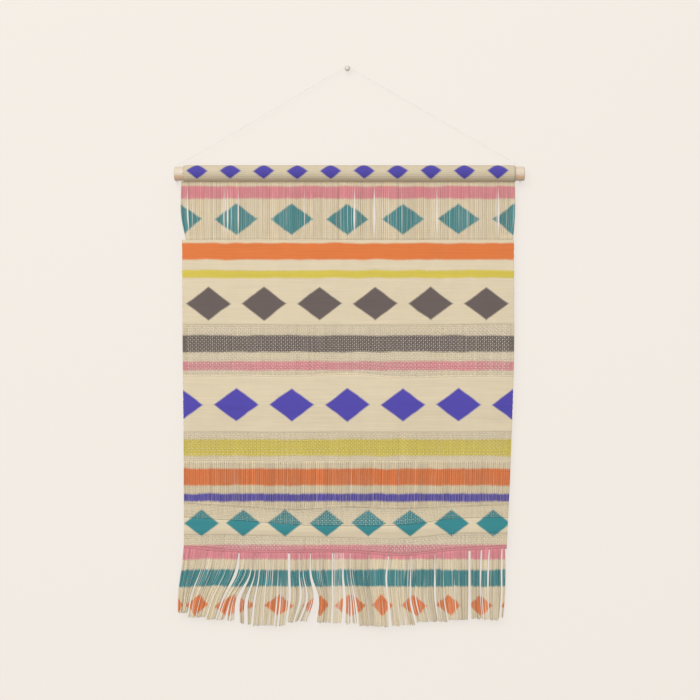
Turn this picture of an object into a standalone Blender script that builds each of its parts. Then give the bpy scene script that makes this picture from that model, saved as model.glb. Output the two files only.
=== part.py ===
"""A woven wall hanging on a wooden dowel, hung by a string from a round-headed wall pin.

Metres, +Z up, front towards -Y, +X to the right. The wall is the plane y = 0, and the
origin is the centre of the pin's flat end, where it meets the wall.
"""

import functools
import math

import bmesh
import bpy
import numpy as np
from mathutils import Vector

MM = 0.001
TOUCH = 0.3 * MM  # left between pieces that rest on each other

# Wall pin, a turned piece on the Y axis
PIN_SHANK_RADIUS = 3.5 * MM
PIN_HEAD_RADIUS = 4.9 * MM
PIN_SIDES = 20
PIN_HEAD_OUT = 10.5 * MM  # from the wall to the back of the head
PIN_HEAD_PROFILE = (
    # height over the head's back (mm), radius as a share of the head's
    (0.0, 0.78),
    (0.7, 0.94),
    (1.9, 1.00),
    (3.4, 0.92),
    (4.6, 0.70),
    (5.4, 0.38),
    (5.7, 0.10),
)

# Dowel, along X
DOWEL_RADIUS = 12.7 * MM
DOWEL_LEFT = -311.4 * MM
DOWEL_RIGHT = 318.8 * MM
DOWEL_DROP = 190.2 * MM  # from the pin down to the dowel's axis
DOWEL_OUT = 15.0 * MM  # from the wall to the dowel's axis
DOWEL_EDGE = 2.4 * MM
DOWEL_SIDES = 32
HOLE_RADIUS = 1.0 * MM
LEFT_HOLE_X = -306.7 * MM
RIGHT_HOLE_X = 311.2 * MM

# Sleeve: the cloth's top round the dowel, its two layers sewn together under it
SLEEVE_LEFT = -295.0 * MM
SLEEVE_RIGHT = 302.2 * MM
SLEEVE_SLACK = 0.4 * MM
SLEEVE_CLOTH = 1.7 * MM
SLEEVE_TAIL = 1.6 * MM
SLEEVE_FACETS = 26
SLEEVE_LUMPS = (
    # share of the sleeve's length, extra cloth outside (mm)
    (0.00, 0.00),
    (0.12, 0.15),
    (0.30, 0.00),
    (0.48, 0.20),
    (0.66, 0.05),
    (0.85, 0.20),
    (1.00, 0.00),
)

# String: route of its centreline, x, y, z in mm, from the left knot to the right one
STRING_DIAMETER = 1.0 * MM
STRING_ROUTE = (
    (-306.70, -15.0, -202.60),
    (-306.70, -15.0, -190.00),
    (-306.70, -15.0, -181.00),
    (-306.70, -15.0, -177.30),
    (-306.43, -15.0, -176.30),
    (-305.71, -15.0, -175.57),
    (-302.50, -14.9, -173.70),
    (-250.00, -13.5, -142.69),
    (-165.00, -11.3, -92.48),
    (-80.00, -9.1, -42.27),
    (-12.00, -7.3, -2.10),
    (-2.19, -7.0, 3.70),
    (-1.10, -7.0, 4.16),
    (0.00, -7.0, 4.30),
    (1.10, -7.0, 4.16),
    (2.16, -7.0, 3.72),
    (12.00, -7.3, -2.01),
    (85.00, -9.2, -44.50),
    (170.00, -11.3, -93.98),
    (255.00, -13.5, -143.46),
    (307.00, -14.9, -173.73),
    (310.21, -15.0, -175.57),
    (310.93, -15.0, -176.30),
    (311.20, -15.0, -177.30),
    (311.20, -15.0, -181.00),
    (311.20, -15.0, -190.00),
    (311.20, -15.0, -202.60),
)
STRING_STEPS = 3  # along each stretch between two points of the route

# Knots under the dowel, each with a cut tail
KNOT_SIDES = 8
KNOT_PROFILE = (
    # drop under the knot's top (mm), radius (mm), share of the tail's swing
    (0.0, 1.00, 0.0),
    (0.5, 1.70, 0.0),
    (1.5, 2.00, 0.0),
    (2.5, 1.75, 0.05),
    (3.2, 0.95, 0.10),
    (4.6, 0.55, 0.20),
    (7.2, 0.52, 0.55),
    (10.0, 0.55, 1.0),
)
LEFT_TAIL_SWING = 1.6 * MM
RIGHT_TAIL_SWING = -1.1 * MM

# Lines of weft that part the cloth's bands: drop below the pin (mm) at each station
STATIONS = (-300.0, -200.0, -100.0, 0.0, 100.0, 200.0, 300.0)  # x (mm)
WEFT_LINES = {
    "warp_foot": (309.5, 309.5, 309.5, 309.5, 309.5, 309.5, 309.5),
    "upper_gauze_head": (462.5, 462.8, 463.4, 463.6, 463.4, 462.5, 461.6),
    "upper_gauze_foot": (554.3, 554.3, 555.2, 551.0, 557.6, 555.4, 555.4),
    "middle_gauze_head": (656.0, 656.0, 656.6, 656.0, 656.0, 655.7, 655.2),
    "ribs_head": (710.0, 710.2, 710.6, 710.0, 709.8, 709.2, 709.2),
    "ribs_foot": (780.2, 786.5, 791.9, 788.3, 790.1, 786.5, 782.3),
    "lower_dense_head": (808.6, 814.4, 821.6, 824.3, 822.1, 810.8, 809.2),
    "lower_dense_foot": (840.5, 841.4, 843.6, 845.9, 847.7, 838.3, 838.0),
    "fringe_root": (862.1, 870.2, 871.1, 871.1, 876.5, 867.5, 862.1),
}
CLOTH_BANDS = (
    # band's foot, thickness (mm), rows of faces inside it
    ("upper_gauze_head", 1.8, 4),
    ("upper_gauze_foot", 1.2, 2),
    ("middle_gauze_head", 1.8, 3),
    ("ribs_head", 1.2, 1),
    ("ribs_foot", 2.6, 0),
    ("lower_dense_head", 1.2, 1),
    ("lower_dense_foot", 1.8, 1),
    ("fringe_root", 1.3, 1),
)
BAND_STEP = 1.5 * MM  # above and below a line, where the thickness changes
CLOTH_COLUMNS = 30
RIBS = 100
RIB_GROOVE = 1.3 * MM  # thickness between two ribs

CLOTH_SIDES = (
    # drop below the pin, left side, right side (mm)
    (205.0, -299.3, 301.7),
    (309.5, -297.7, 299.9),
    (507.5, -296.5, 299.9),
    (687.5, -294.5, 294.5),
    (780.0, -294.2, 290.6),
    (880.0, -294.0, 285.8),
)
FOLDS = (
    # x (mm), half width (mm), how far forward at the top and at the foot (mm), lean (mm)
    (-262.0, 55.0, 0.4, 2.6, -8.0),
    (-176.0, 62.0, -0.5, -2.4, -14.0),
    (-96.0, 58.0, 0.5, 2.0, 6.0),
    (-10.0, 66.0, -0.3, -1.4, 10.0),
    (74.0, 60.0, 0.6, 2.2, 12.0),
    (158.0, 58.0, -0.4, -1.9, 4.0),
    (246.0, 64.0, 0.5, 2.8, -6.0),
)
BELLIES = (
    # drop below the pin (mm), half height (mm), how far forward (mm)
    (386.0, 70.0, 0.9),
    (508.0, 40.0, -0.8),
    (604.0, 44.0, 1.2),
    (683.0, 24.0, -0.7),
    (746.0, 34.0, 0.8),
    (806.0, 16.0, -1.3),
    (832.0, 16.0, 1.5),
)

# Unwoven band under the sleeve: yarns between two narrow strips of weft
STRIP_HEIGHT = 2.2 * MM
STRIP_DEPTH = 2.0 * MM
STRIP_COLUMNS = 24
STRIP_END = 0.6 * MM  # a strip reaches past its outer yarns
WARP_YARNS = 110
WARP_YARN_WIDTH = 4.6 * MM
WARP_YARN_DEPTH = 1.3 * MM
WARP_MIDDLE = 0.58  # share of the drop where a slit is widest
WARP_PULL_LEFT = 9.0 * MM  # how far the outer yarns are drawn in at the foot
WARP_PULL_RIGHT = 3.5 * MM
WARP_PULL_REACH = 16.0 * MM
WARP_SLITS = (
    # x (mm), width (mm), reach to each side (mm)
    (-287.5, 3.6, 7.0),
    (-216.0, 3.4, 9.0),
    (-196.0, 2.4, 7.0),
    (12.0, 4.6, 10.0),
    (48.0, 4.2, 10.0),
    (161.0, 3.2, 8.0),
    (270.5, 4.0, 9.0),
)

# Fringe: locks of yarn, named by their sides at four levels
FRINGE_YARN_WIDTH = 3.5 * MM
FRINGE_YARN_DEPTH = 1.4 * MM
FRINGE_LEVELS = (0.0, 0.34, 0.68, 1.0)  # shares of a lock's drop
FRINGE_SHARE = 0.84  # of the room between two yarns that a yarn fills
FRINGE_LOCKS = (
    # yarns, steps, left and right side at the four levels (mm), foot's drop (mm), forward (mm)
    (10, 5, -294.2, -254.7, -298.4, -264.4, -303.1, -279.7, -304.4, -288.2, 979.5, 1.0),
    (10, 5, -254.2, -213.4, -263.6, -221.4, -279.0, -242.6, -286.6, -255.6, 988.0, -1.0),
    (5, 5, -212.8, -194.8, -220.6, -204.2, -241.8, -224.4, -254.4, -238.4, 992.0, 1.5),
    (3, 5, -193.2, -181.0, -198.6, -185.4, -221.6, -209.8, -237.0, -222.6, 993.0, 0.0),
    (2, 5, -180.2, -174.0, -183.4, -176.2, -207.8, -199.8, -217.4, -204.2, 994.0, 2.0),
    (2, 5, -173.4, -166.6, -174.4, -168.4, -192.8, -184.6, -193.8, -186.4, 999.0, 0.0),
    (2, 5, -166.0, -159.4, -166.6, -160.2, -178.4, -169.2, -180.2, -173.6, 1001.0, -1.5),
    (4, 4, -158.8, -143.4, -158.6, -146.6, -166.2, -152.2, -171.4, -154.8, 1003.0, 1.0),
    (9, 4, -142.6, -107.4, -144.0, -107.0, -149.0, -107.4, -152.0, -112.6, 1003.5, -0.5),
    (4, 6, -103.0, -87.4, -103.2, -87.6, -101.6, -86.4, -107.4, -98.0, 996.5, 1.0),
    (2, 6, -85.8, -80.0, -85.6, -79.6, -82.2, -74.6, -94.2, -88.0, 995.5, -1.0),
    (3, 6, -78.8, -67.4, -78.0, -68.2, -71.6, -61.8, -86.2, -74.6, 995.0, 2.0),
    (9, 6, -65.4, -28.0, -63.6, -28.2, -50.2, -28.4, -53.8, -30.8, 997.5, 0.0),
    (4, 4, -26.0, -6.4, -25.4, -9.6, -25.4, -7.2, -26.2, -10.8, 998.5, -1.5),
    (3, 4, -5.6, 4.4, -6.6, 4.6, -2.6, 12.6, -5.0, 18.0, 1000.0, 1.0),
    (17, 4, 5.6, 73.8, 6.6, 68.4, 16.4, 72.8, 21.8, 74.8, 1004.5, 0.0),
    (10, 4, 76.0, 114.4, 71.6, 112.4, 76.0, 111.6, 80.4, 121.4, 1002.5, -1.0),
    (10, 3, 115.6, 157.4, 114.8, 156.4, 114.8, 156.6, 124.6, 163.2, 996.5, 1.0),
    (3, 4, 158.4, 171.8, 159.4, 172.0, 159.8, 173.4, 165.2, 180.2, 996.0, -0.5),
    (11, 3, 172.8, 217.4, 173.2, 217.8, 175.2, 217.4, 182.4, 216.4, 993.0, 0.8),
    (4, 3, 221.8, 240.0, 221.8, 237.6, 222.2, 237.6, 223.6, 240.4, 990.5, -1.0),
    (3, 3, 242.4, 254.4, 241.6, 251.6, 241.6, 251.4, 244.2, 254.4, 991.5, 1.0),
    (5, 3, 256.4, 277.0, 255.4, 276.0, 255.0, 275.4, 257.4, 272.4, 992.5, -0.5),
    (1, 3, 279.0, 283.2, 278.8, 284.6, 278.4, 284.0, 275.8, 280.6, 989.0, 0.5),
)


def clear_scene():
    for item in list(bpy.data.objects):
        bpy.data.objects.remove(item, do_unlink=True)


def finish_material(name, colour, roughness, metallic=0.0):
    made = bpy.data.materials.new(name)
    made.use_nodes = True
    shader = made.node_tree.nodes["Principled BSDF"]
    shader.inputs["Base Color"].default_value = (*colour, 1.0)
    shader.inputs["Roughness"].default_value = roughness
    shader.inputs["Metallic"].default_value = metallic
    made.diffuse_color = (*colour, 1.0)
    return made


def place_mesh(name, bm, material):
    """The finished mesh as an object of its own, its faces turned outwards."""
    bmesh.ops.recalc_face_normals(bm, faces=bm.faces)
    mesh = bpy.data.meshes.new(name)
    bm.to_mesh(mesh)
    bm.free()
    piece = bpy.data.objects.new(name, mesh)
    bpy.context.scene.collection.objects.link(piece)
    mesh.materials.append(material)
    mesh.shade_smooth()
    mesh.set_sharp_from_angle(angle=math.radians(35))
    return piece


def smooth_through(stations, values, at):
    """A smooth curve through values at stations, read at the given places."""
    stations = np.asarray(stations, float)
    values = np.asarray(values, float)
    slopes = np.gradient(values, stations)
    at = np.clip(at, stations[0], stations[-1])
    cell = np.clip(np.searchsorted(stations, at, side="right") - 1, 0, len(stations) - 2)
    width = stations[cell + 1] - stations[cell]
    t = (at - stations[cell]) / width
    start = (2 * t**3 - 3 * t**2 + 1) * values[cell]
    end = (3 * t**2 - 2 * t**3) * values[cell + 1]
    bend = ((t**3 - 2 * t**2 + t) * slopes[cell] + (t**3 - t**2) * slopes[cell + 1]) * width
    return start + end + bend


def line_height(name, x):
    """Z of a weft line at x."""
    return -smooth_through(STATIONS, WEFT_LINES[name], x / MM) * MM


def cloth_side(column, z):
    """X of the cloth's left (1) or right (2) side at height z."""
    drops = [row[0] for row in CLOTH_SIDES]
    sides = [row[column] for row in CLOTH_SIDES]
    return smooth_through(drops, sides, -z / MM) * MM


def hump(distance, half_width):
    """One at the middle of a fold, falling softly to nothing at its half width."""
    if abs(distance) >= half_width:
        return 0.0
    return 0.5 + 0.5 * math.cos(math.pi * distance / half_width)


def cloth_depth(x, z):
    """Y of the cloth's middle layer, with its folds and bellies."""
    sleeve_foot = DOWEL_DROP + DOWEL_RADIUS
    share = min(1.0, max(0.0, (-z - sleeve_foot) / (880.0 * MM - sleeve_foot)))
    forward = 0.0
    for centre, half_width, top, foot, lean in FOLDS:
        height = top * min(1.0, 8.0 * share) * (1.0 - share) + foot * share
        forward += height * hump(x / MM - centre - lean * share, half_width)
    for drop, half_height, belly in BELLIES:
        forward += belly * hump(-z / MM - drop, half_height)
    return -DOWEL_OUT - forward * MM


def stitch(bm, upper, lower):
    """Faces between two rows of points that run the same way, whatever their numbers."""
    if len(upper) == len(lower):
        for i in range(len(upper) - 1):
            bm.faces.new((upper[i], upper[i + 1], lower[i + 1], lower[i]))
        return
    i = 0
    j = 0
    while i < len(upper) - 1 or j < len(lower) - 1:
        last_upper = i == len(upper) - 1
        last_lower = j == len(lower) - 1
        if last_lower or (not last_upper and upper[i + 1].co.x <= lower[j + 1].co.x):
            bm.faces.new((upper[i], upper[i + 1], lower[j]))
            i += 1
        else:
            bm.faces.new((upper[i], lower[j + 1], lower[j]))
            j += 1


def join_rings(bm, before, after):
    """A band of faces between two closed rings of as many points each."""
    for i in range(len(before)):
        j = (i + 1) % len(before)
        bm.faces.new((before[i], before[j], after[j], after[i]))


def close_over(bm, rings):
    """A closed body over a row of rings, its first and last ring capped."""
    for before, after in zip(rings, rings[1:]):
        join_rings(bm, before, after)
    bm.faces.new(rings[0])
    bm.faces.new(rings[-1])


def turns_of(sides):
    return [math.tau * i / sides for i in range(sides)]


def make_pin(material):
    bm = bmesh.new()
    shank = [(0.0, PIN_SHANK_RADIUS), (PIN_HEAD_OUT, PIN_SHANK_RADIUS)]
    head = [(PIN_HEAD_OUT + up * MM, PIN_HEAD_RADIUS * share) for up, share in PIN_HEAD_PROFILE]
    rings = []
    for out, radius in shank + head:
        places = [(radius * math.cos(a), -out, radius * math.sin(a)) for a in turns_of(PIN_SIDES)]
        rings.append([bm.verts.new(place) for place in places])
    close_over(bm, rings)
    return place_mesh("wall_pin", bm, material)


def make_hole_cutter(name, x):
    bm = bmesh.new()
    bmesh.ops.create_cone(
        bm, cap_ends=True, segments=12, radius1=HOLE_RADIUS, radius2=HOLE_RADIUS, depth=4 * DOWEL_RADIUS
    )
    mesh = bpy.data.meshes.new(name)
    bm.to_mesh(mesh)
    bm.free()
    cutter = bpy.data.objects.new(name, mesh)
    bpy.context.scene.collection.objects.link(cutter)
    cutter.location = (x, -DOWEL_OUT, -DOWEL_DROP)
    cutter.hide_render = True
    cutter.display_type = "WIRE"
    return cutter


def make_dowel(material):
    bm = bmesh.new()
    bmesh.ops.create_cone(
        bm,
        cap_ends=True,
        segments=DOWEL_SIDES,
        radius1=DOWEL_RADIUS,
        radius2=DOWEL_RADIUS,
        depth=DOWEL_RIGHT - DOWEL_LEFT,
    )
    rims = [e for e in bm.edges if abs(e.verts[0].co.z - e.verts[1].co.z) < TOUCH]
    bmesh.ops.bevel(bm, geom=rims, offset=DOWEL_EDGE, segments=2, affect="EDGES", profile=0.5)
    for point in bm.verts:
        point.co = Vector((point.co.z, point.co.y, -point.co.x))
    dowel = place_mesh("dowel", bm, material)
    dowel.location = ((DOWEL_LEFT + DOWEL_RIGHT) / 2, -DOWEL_OUT, -DOWEL_DROP)
    for side, x in (("left", LEFT_HOLE_X), ("right", RIGHT_HOLE_X)):
        cut = dowel.modifiers.new("string_hole_" + side, "BOOLEAN")
        cut.operation = "DIFFERENCE"
        cut.solver = "EXACT"
        cut.object = make_hole_cutter("hole_cutter_" + side, x)
    return dowel


def make_sleeve(material):
    """A tube of cloth round the dowel, with the sewn layers as a short tail under it."""
    inside = DOWEL_RADIUS + SLEEVE_SLACK
    seam_half = 0.8 * SLEEVE_CLOTH
    bm = bmesh.new()
    loops = []
    for share, extra in SLEEVE_LUMPS:
        x = SLEEVE_LEFT + (SLEEVE_RIGHT - SLEEVE_LEFT) * share
        outside = inside + SLEEVE_CLOTH + extra * MM
        tail = inside + SLEEVE_CLOTH + SLEEVE_TAIL
        start = math.asin(seam_half / outside)
        outer = []
        inner = []
        for i in range(SLEEVE_FACETS):
            angle = start + (math.tau - 2 * start) * i / (SLEEVE_FACETS - 1)
            outer.append((-outside * math.sin(angle), -outside * math.cos(angle)))
            inner.append((-inside * math.sin(angle), -inside * math.cos(angle)))
        outer += [(seam_half, -tail), (-seam_half, -tail)]
        for sign in (1, -1):
            angle = sign * start / 3
            inner.append((inside * math.sin(angle), -inside * math.cos(angle)))
        loops.append(
            [
                [bm.verts.new((x, y - DOWEL_OUT, z - DOWEL_DROP)) for y, z in loop]
                for loop in (outer, inner)
            ]
        )
    for before, after in zip(loops, loops[1:]):
        for layer in (0, 1):
            join_rings(bm, before[layer], after[layer])
    for outer, inner in (loops[0], loops[-1]):
        join_rings(bm, outer, inner)
    return place_mesh("rod_sleeve", bm, material)


def string_points():
    """The string's centreline, read from a smooth curve through its route."""
    route = np.array(STRING_ROUTE) * MM
    steps = np.linalg.norm(np.diff(route, axis=0), axis=1)
    along = np.concatenate([[0.0], np.cumsum(steps)])
    places = []
    for start, end in zip(along, along[1:]):
        places += [start + (end - start) * i / STRING_STEPS for i in range(STRING_STEPS)]
    places.append(along[-1])
    return [
        tuple(float(smooth_through(along, route[:, axis], place)) for axis in range(3))
        for place in places
    ]


def make_string(material):
    curve = bpy.data.curves.new("hanging_string", "CURVE")
    curve.dimensions = "3D"
    curve.bevel_depth = STRING_DIAMETER / 2
    curve.bevel_resolution = 2
    curve.use_fill_caps = True
    points = string_points()
    spline = curve.splines.new("POLY")
    spline.points.add(len(points) - 1)
    for slot, place in zip(spline.points, points):
        slot.co = (*place, 1.0)
    curve.materials.append(material)
    string = bpy.data.objects.new("hanging_string", curve)
    bpy.context.scene.collection.objects.link(string)
    return string


def make_knot(name, x, swing, material):
    """A stopper knot under the dowel, its cut tail swinging a little to one side."""
    top = -DOWEL_DROP - DOWEL_RADIUS - TOUCH
    bm = bmesh.new()
    rings = []
    for drop, radius, share in KNOT_PROFILE:
        ring = []
        for angle in turns_of(KNOT_SIDES):
            across = x + swing * share + radius * MM * math.cos(angle)
            out = -DOWEL_OUT + radius * MM * math.sin(angle)
            ring.append(bm.verts.new((across, out, top - drop * MM)))
        rings.append(ring)
    close_over(bm, rings)
    return place_mesh(name, bm, material)


def cloth_row(bm, height_at, thickness, ribbed):
    """Front and back points of one row of the cloth, from its left side to its right."""
    columns = 2 * RIBS if ribbed else CLOTH_COLUMNS
    left = cloth_side(1, height_at(DOWEL_LEFT))
    right = cloth_side(2, height_at(DOWEL_RIGHT))
    front = []
    back = []
    for i in range(columns + 1):
        x = left + (right - left) * i / columns
        z = height_at(x)
        y = cloth_depth(x, z)
        in_groove = ribbed and i % 2 == 0
        half = (RIB_GROOVE if in_groove else thickness) / 2
        front.append(bm.verts.new((x, y - half, z)))
        back.append(bm.verts.new((x, y + half, z)))
    return front, back


def band_rows(bm, head, head_step, foot, foot_step, thickness, inner_rows):
    """Rows of points from one weft line to the next, each row a blend of the two."""
    rows = []
    for k in range(inner_rows + 2):
        share = k / (inner_rows + 1)

        def height_at(x, share=share):
            upper = line_height(head, x) - head_step
            lower = line_height(foot, x) + foot_step
            return float(upper + (lower - upper) * share)

        rows.append(cloth_row(bm, height_at, thickness, foot == "ribs_foot"))
    return rows


def make_woven_cloth(material):
    """The woven cloth from the upper warp's foot to the fringe, thicker where it is dense."""
    bm = bmesh.new()
    rows = []
    head = "warp_foot"
    head_step = TOUCH
    for foot, thickness, inner_rows in CLOTH_BANDS:
        foot_step = 0.0 if foot == "fringe_root" else BAND_STEP
        rows += band_rows(bm, head, head_step, foot, foot_step, thickness * MM, inner_rows)
        head = foot
        head_step = BAND_STEP
    for upper, lower in zip(rows, rows[1:]):
        stitch(bm, upper[0], lower[0])
        stitch(bm, upper[1], lower[1])
        for end in (0, -1):
            bm.faces.new((upper[0][end], upper[1][end], lower[1][end], lower[0][end]))
    for front, back in (rows[0], rows[-1]):
        stitch(bm, front, back)
    return place_mesh("woven_cloth", bm, material)


def yarn_ring(bm, x, height_at, depth_at, half_width, half_depth):
    """The four corners of a yarn: front left, front right, back right, back left."""
    corners = []
    for side, face in ((-1, -1), (1, -1), (1, 1), (-1, 1)):
        corner_x = x + side * half_width
        y = depth_at(corner_x) + face * half_depth
        corners.append(bm.verts.new((corner_x, y, height_at(corner_x))))
    return corners


def make_strip(bm, rings, height_at, depth_at, far_offset):
    """A narrow strip of weft that the rings of yarns root in, its far edge away from them."""
    left = rings[0][0].co.x - STRIP_END
    right = rings[-1][1].co.x + STRIP_END
    half = STRIP_DEPTH / 2
    near = []
    for face, (first, second) in ((-1, (0, 1)), (1, (3, 2))):
        row = [bm.verts.new((left, depth_at(left) + face * half, height_at(left)))]
        for ring in rings:
            row += [ring[first], ring[second]]
        row.append(bm.verts.new((right, depth_at(right) + face * half, height_at(right))))
        near.append(row)
    far = []
    for face in (-1, 1):
        row = []
        for i in range(STRIP_COLUMNS + 1):
            x = left + (right - left) * i / STRIP_COLUMNS
            y = depth_at(x) + face * half
            row.append(bm.verts.new((x, y, height_at(x) + far_offset)))
        far.append(row)
    stitch(bm, far[0], near[0])
    stitch(bm, far[1], near[1])
    stitch(bm, far[0], far[1])
    for end in (0, -1):
        bm.faces.new((near[0][end], near[1][end], far[1][end], far[0][end]))
    for i in range(0, len(near[0]), 2):
        bm.faces.new((near[0][i], near[0][i + 1], near[1][i + 1], near[1][i]))


def slit_shift(x):
    """How far a yarn at x is pushed aside where the slits are widest."""
    shift = 0.0
    for centre, width, reach in WARP_SLITS:
        away = x / MM - centre
        side = 1.0 if away >= 0 else -1.0
        shift += side * width / 2 * math.exp(-abs(away) / reach)
    return shift * MM


def half_widths(centres, widest):
    """Half the width of each yarn, so that it stays clear of both its neighbours."""
    room = np.diff(centres)
    before = np.concatenate([[room[0]], room])
    after = np.concatenate([room, [room[-1]]])
    return np.minimum(widest / 2, np.minimum(before, after) * FRINGE_SHARE / 2)


def make_open_warp(material):
    """Unwoven yarns under the sleeve, held by a strip of weft above and one below."""
    head_z = -DOWEL_DROP - DOWEL_RADIUS - SLEEVE_SLACK - SLEEVE_CLOTH - SLEEVE_TAIL - TOUCH
    root_z = head_z - STRIP_HEIGHT
    left = cloth_side(1, root_z) + STRIP_END + WARP_YARN_WIDTH / 2
    right = cloth_side(2, root_z) - STRIP_END - WARP_YARN_WIDTH / 2
    top = np.linspace(left, right, WARP_YARNS)
    drawn_in = WARP_PULL_LEFT * np.exp(-(top - left) / WARP_PULL_REACH)
    drawn_in -= WARP_PULL_RIGHT * np.exp(-(right - top) / WARP_PULL_REACH)
    middle = top + np.array([slit_shift(x) for x in top]) + 0.08 * drawn_in
    foot = top + drawn_in
    levels = []

    def middle_height(x):
        return root_z + (foot_height(x) - root_z) * WARP_MIDDLE

    def foot_height(x):
        return float(line_height("warp_foot", x)) + STRIP_HEIGHT

    shapes = (
        (top, lambda x: root_z, lambda x: -DOWEL_OUT, STRIP_DEPTH),
        (middle, middle_height, lambda x: cloth_depth(x, middle_height(x)), WARP_YARN_DEPTH),
        (foot, foot_height, lambda x: cloth_depth(x, foot_height(x)), STRIP_DEPTH),
    )
    bm = bmesh.new()
    for centres, height_at, depth_at, depth in shapes:
        halves = half_widths(centres, WARP_YARN_WIDTH)
        levels.append(
            [
                yarn_ring(bm, x, height_at, depth_at, half, depth / 2)
                for x, half in zip(centres, halves)
            ]
        )
    for upper, lower in zip(levels, levels[1:]):
        for upper_ring, lower_ring in zip(upper, lower):
            join_rings(bm, upper_ring, lower_ring)
    make_strip(bm, levels[0], shapes[0][1], shapes[0][2], STRIP_HEIGHT)
    make_strip(bm, levels[-1], shapes[2][1], shapes[2][2], -STRIP_HEIGHT)
    return place_mesh("open_warp_upper", bm, material)


@functools.cache
def fringe_centres(share):
    """X of every yarn of the fringe where it has dropped by this share of its length."""
    centres = []
    for yarns, _, *sides, _, _ in FRINGE_LOCKS:
        left = float(smooth_through(FRINGE_LEVELS, sides[0::2], share))
        right = float(smooth_through(FRINGE_LEVELS, sides[1::2], share))
        centres += [(left + (right - left) * (i + 0.5) / yarns) * MM for i in range(yarns)]
    return np.array(centres)


def make_fringe(material):
    """The warp's free ends, in locks that sway and hook, rooted in a narrow strip of weft."""

    def root_height(x):
        return float(line_height("fringe_root", x)) - TOUCH - STRIP_HEIGHT

    def root_depth(x):
        return cloth_depth(x, root_height(x))

    bm = bmesh.new()
    roots = fringe_centres(0.0)
    root_halves = half_widths(roots, FRINGE_YARN_WIDTH)
    root_rings = [
        yarn_ring(bm, x, root_height, root_depth, half, STRIP_DEPTH / 2)
        for x, half in zip(roots, root_halves)
    ]
    make_strip(bm, root_rings, root_height, root_depth, STRIP_HEIGHT)
    first = 0
    for yarns, steps, *_, foot_drop, forward in FRINGE_LOCKS:
        for number in range(first, first + yarns):
            ring = root_rings[number]
            foot_z = -foot_drop * MM + 1.2 * MM * math.sin(2.3 * number)
            for step in range(1, steps + 1):
                share = step / steps
                centres = fringe_centres(share)
                half = half_widths(centres, FRINGE_YARN_WIDTH)[number]
                x = centres[number]
                z = root_height(roots[number]) * (1 - share) + foot_z * share
                y = root_depth(roots[number]) - forward * MM * share
                lower = yarn_ring(bm, x, lambda _: z, lambda _: y, half, FRINGE_YARN_DEPTH / 2)
                join_rings(bm, ring, lower)
                ring = lower
            bm.faces.new(ring)
        first += yarns
    return place_mesh("fringe", bm, material)


def main():
    clear_scene()
    cloth = finish_material("woven_cloth", (0.73, 0.63, 0.46), 0.9)
    yarn = finish_material("warp_yarn", (0.74, 0.65, 0.49), 0.85)
    wood = finish_material("dowel_wood", (0.72, 0.52, 0.34), 0.55)
    twine = finish_material("string_twine", (0.82, 0.80, 0.77), 0.7)
    pin = finish_material("pin_head", (0.62, 0.56, 0.50), 0.4)
    make_pin(pin)
    make_string(twine)
    make_knot("string_knot_left", LEFT_HOLE_X, LEFT_TAIL_SWING, twine)
    make_knot("string_knot_right", RIGHT_HOLE_X, RIGHT_TAIL_SWING, twine)
    make_dowel(wood)
    make_sleeve(cloth)
    make_open_warp(yarn)
    make_woven_cloth(cloth)
    make_fringe(yarn)


main()
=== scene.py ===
"""The looks of a woven wall hanging: its yarns, print, dowel, string and wall pin.

Metres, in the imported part's own frame: +Z up, the front towards -Y, the wall at y = 0. A drop is
a distance below the pin, along -Z. The cloth is one warp all the way down: open yarns under the
sleeve, dense weave, gauze, close ribs, and the fringe, with a print of stripes and diamonds.
"""

import math

import bmesh
import bpy
import numpy as np
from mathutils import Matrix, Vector


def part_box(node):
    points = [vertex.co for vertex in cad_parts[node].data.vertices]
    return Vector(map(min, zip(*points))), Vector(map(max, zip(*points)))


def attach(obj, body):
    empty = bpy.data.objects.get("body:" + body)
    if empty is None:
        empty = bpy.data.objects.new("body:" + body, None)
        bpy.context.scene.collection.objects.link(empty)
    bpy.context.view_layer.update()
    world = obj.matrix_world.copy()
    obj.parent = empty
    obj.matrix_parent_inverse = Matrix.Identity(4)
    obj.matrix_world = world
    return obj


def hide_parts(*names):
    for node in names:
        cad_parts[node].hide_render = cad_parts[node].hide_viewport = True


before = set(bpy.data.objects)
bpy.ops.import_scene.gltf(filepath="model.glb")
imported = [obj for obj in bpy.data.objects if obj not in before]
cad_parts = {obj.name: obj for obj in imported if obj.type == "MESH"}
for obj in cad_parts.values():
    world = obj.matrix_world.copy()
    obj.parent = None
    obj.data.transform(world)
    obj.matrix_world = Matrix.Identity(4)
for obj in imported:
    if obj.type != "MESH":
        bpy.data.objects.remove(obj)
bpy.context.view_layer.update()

MM = 0.001
FRONT = np.array((0.0, -1.0, 0.0))

# Camera and stage
LENS = 100.0
SENSOR = 36.0
CAMERA_X = 4.7 * MM
CAMERA_Z = -507.5 * MM
VIEW_WIDTH = 1.26  # what the frame takes in, across the cloth
WALL_GAP = 0.5 * MM  # the wall's face behind the pin's flat end
WALL_WIDTH = 7.0
WALL_HEIGHT = 3.4
FLOOR_DROP = 1.5
FLOOR_WIDTH = 14.0
WALL_SHADE_SHARE = 0.20  # how much of the wall's colour takes shadows
KEY_PLACE = (-1.0, -3.7, 1.45)
KEY_AIM = (0.0, 0.0, -0.55)
KEY_SIZE = 2.9
KEY_POWER = 103.0
FILL_BELOW = 0.55
FILL_ABOVE = 0.80
WALL_BOUNCE = 0.5  # the wall's light on the piece, as a share of the light that it shows

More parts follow.
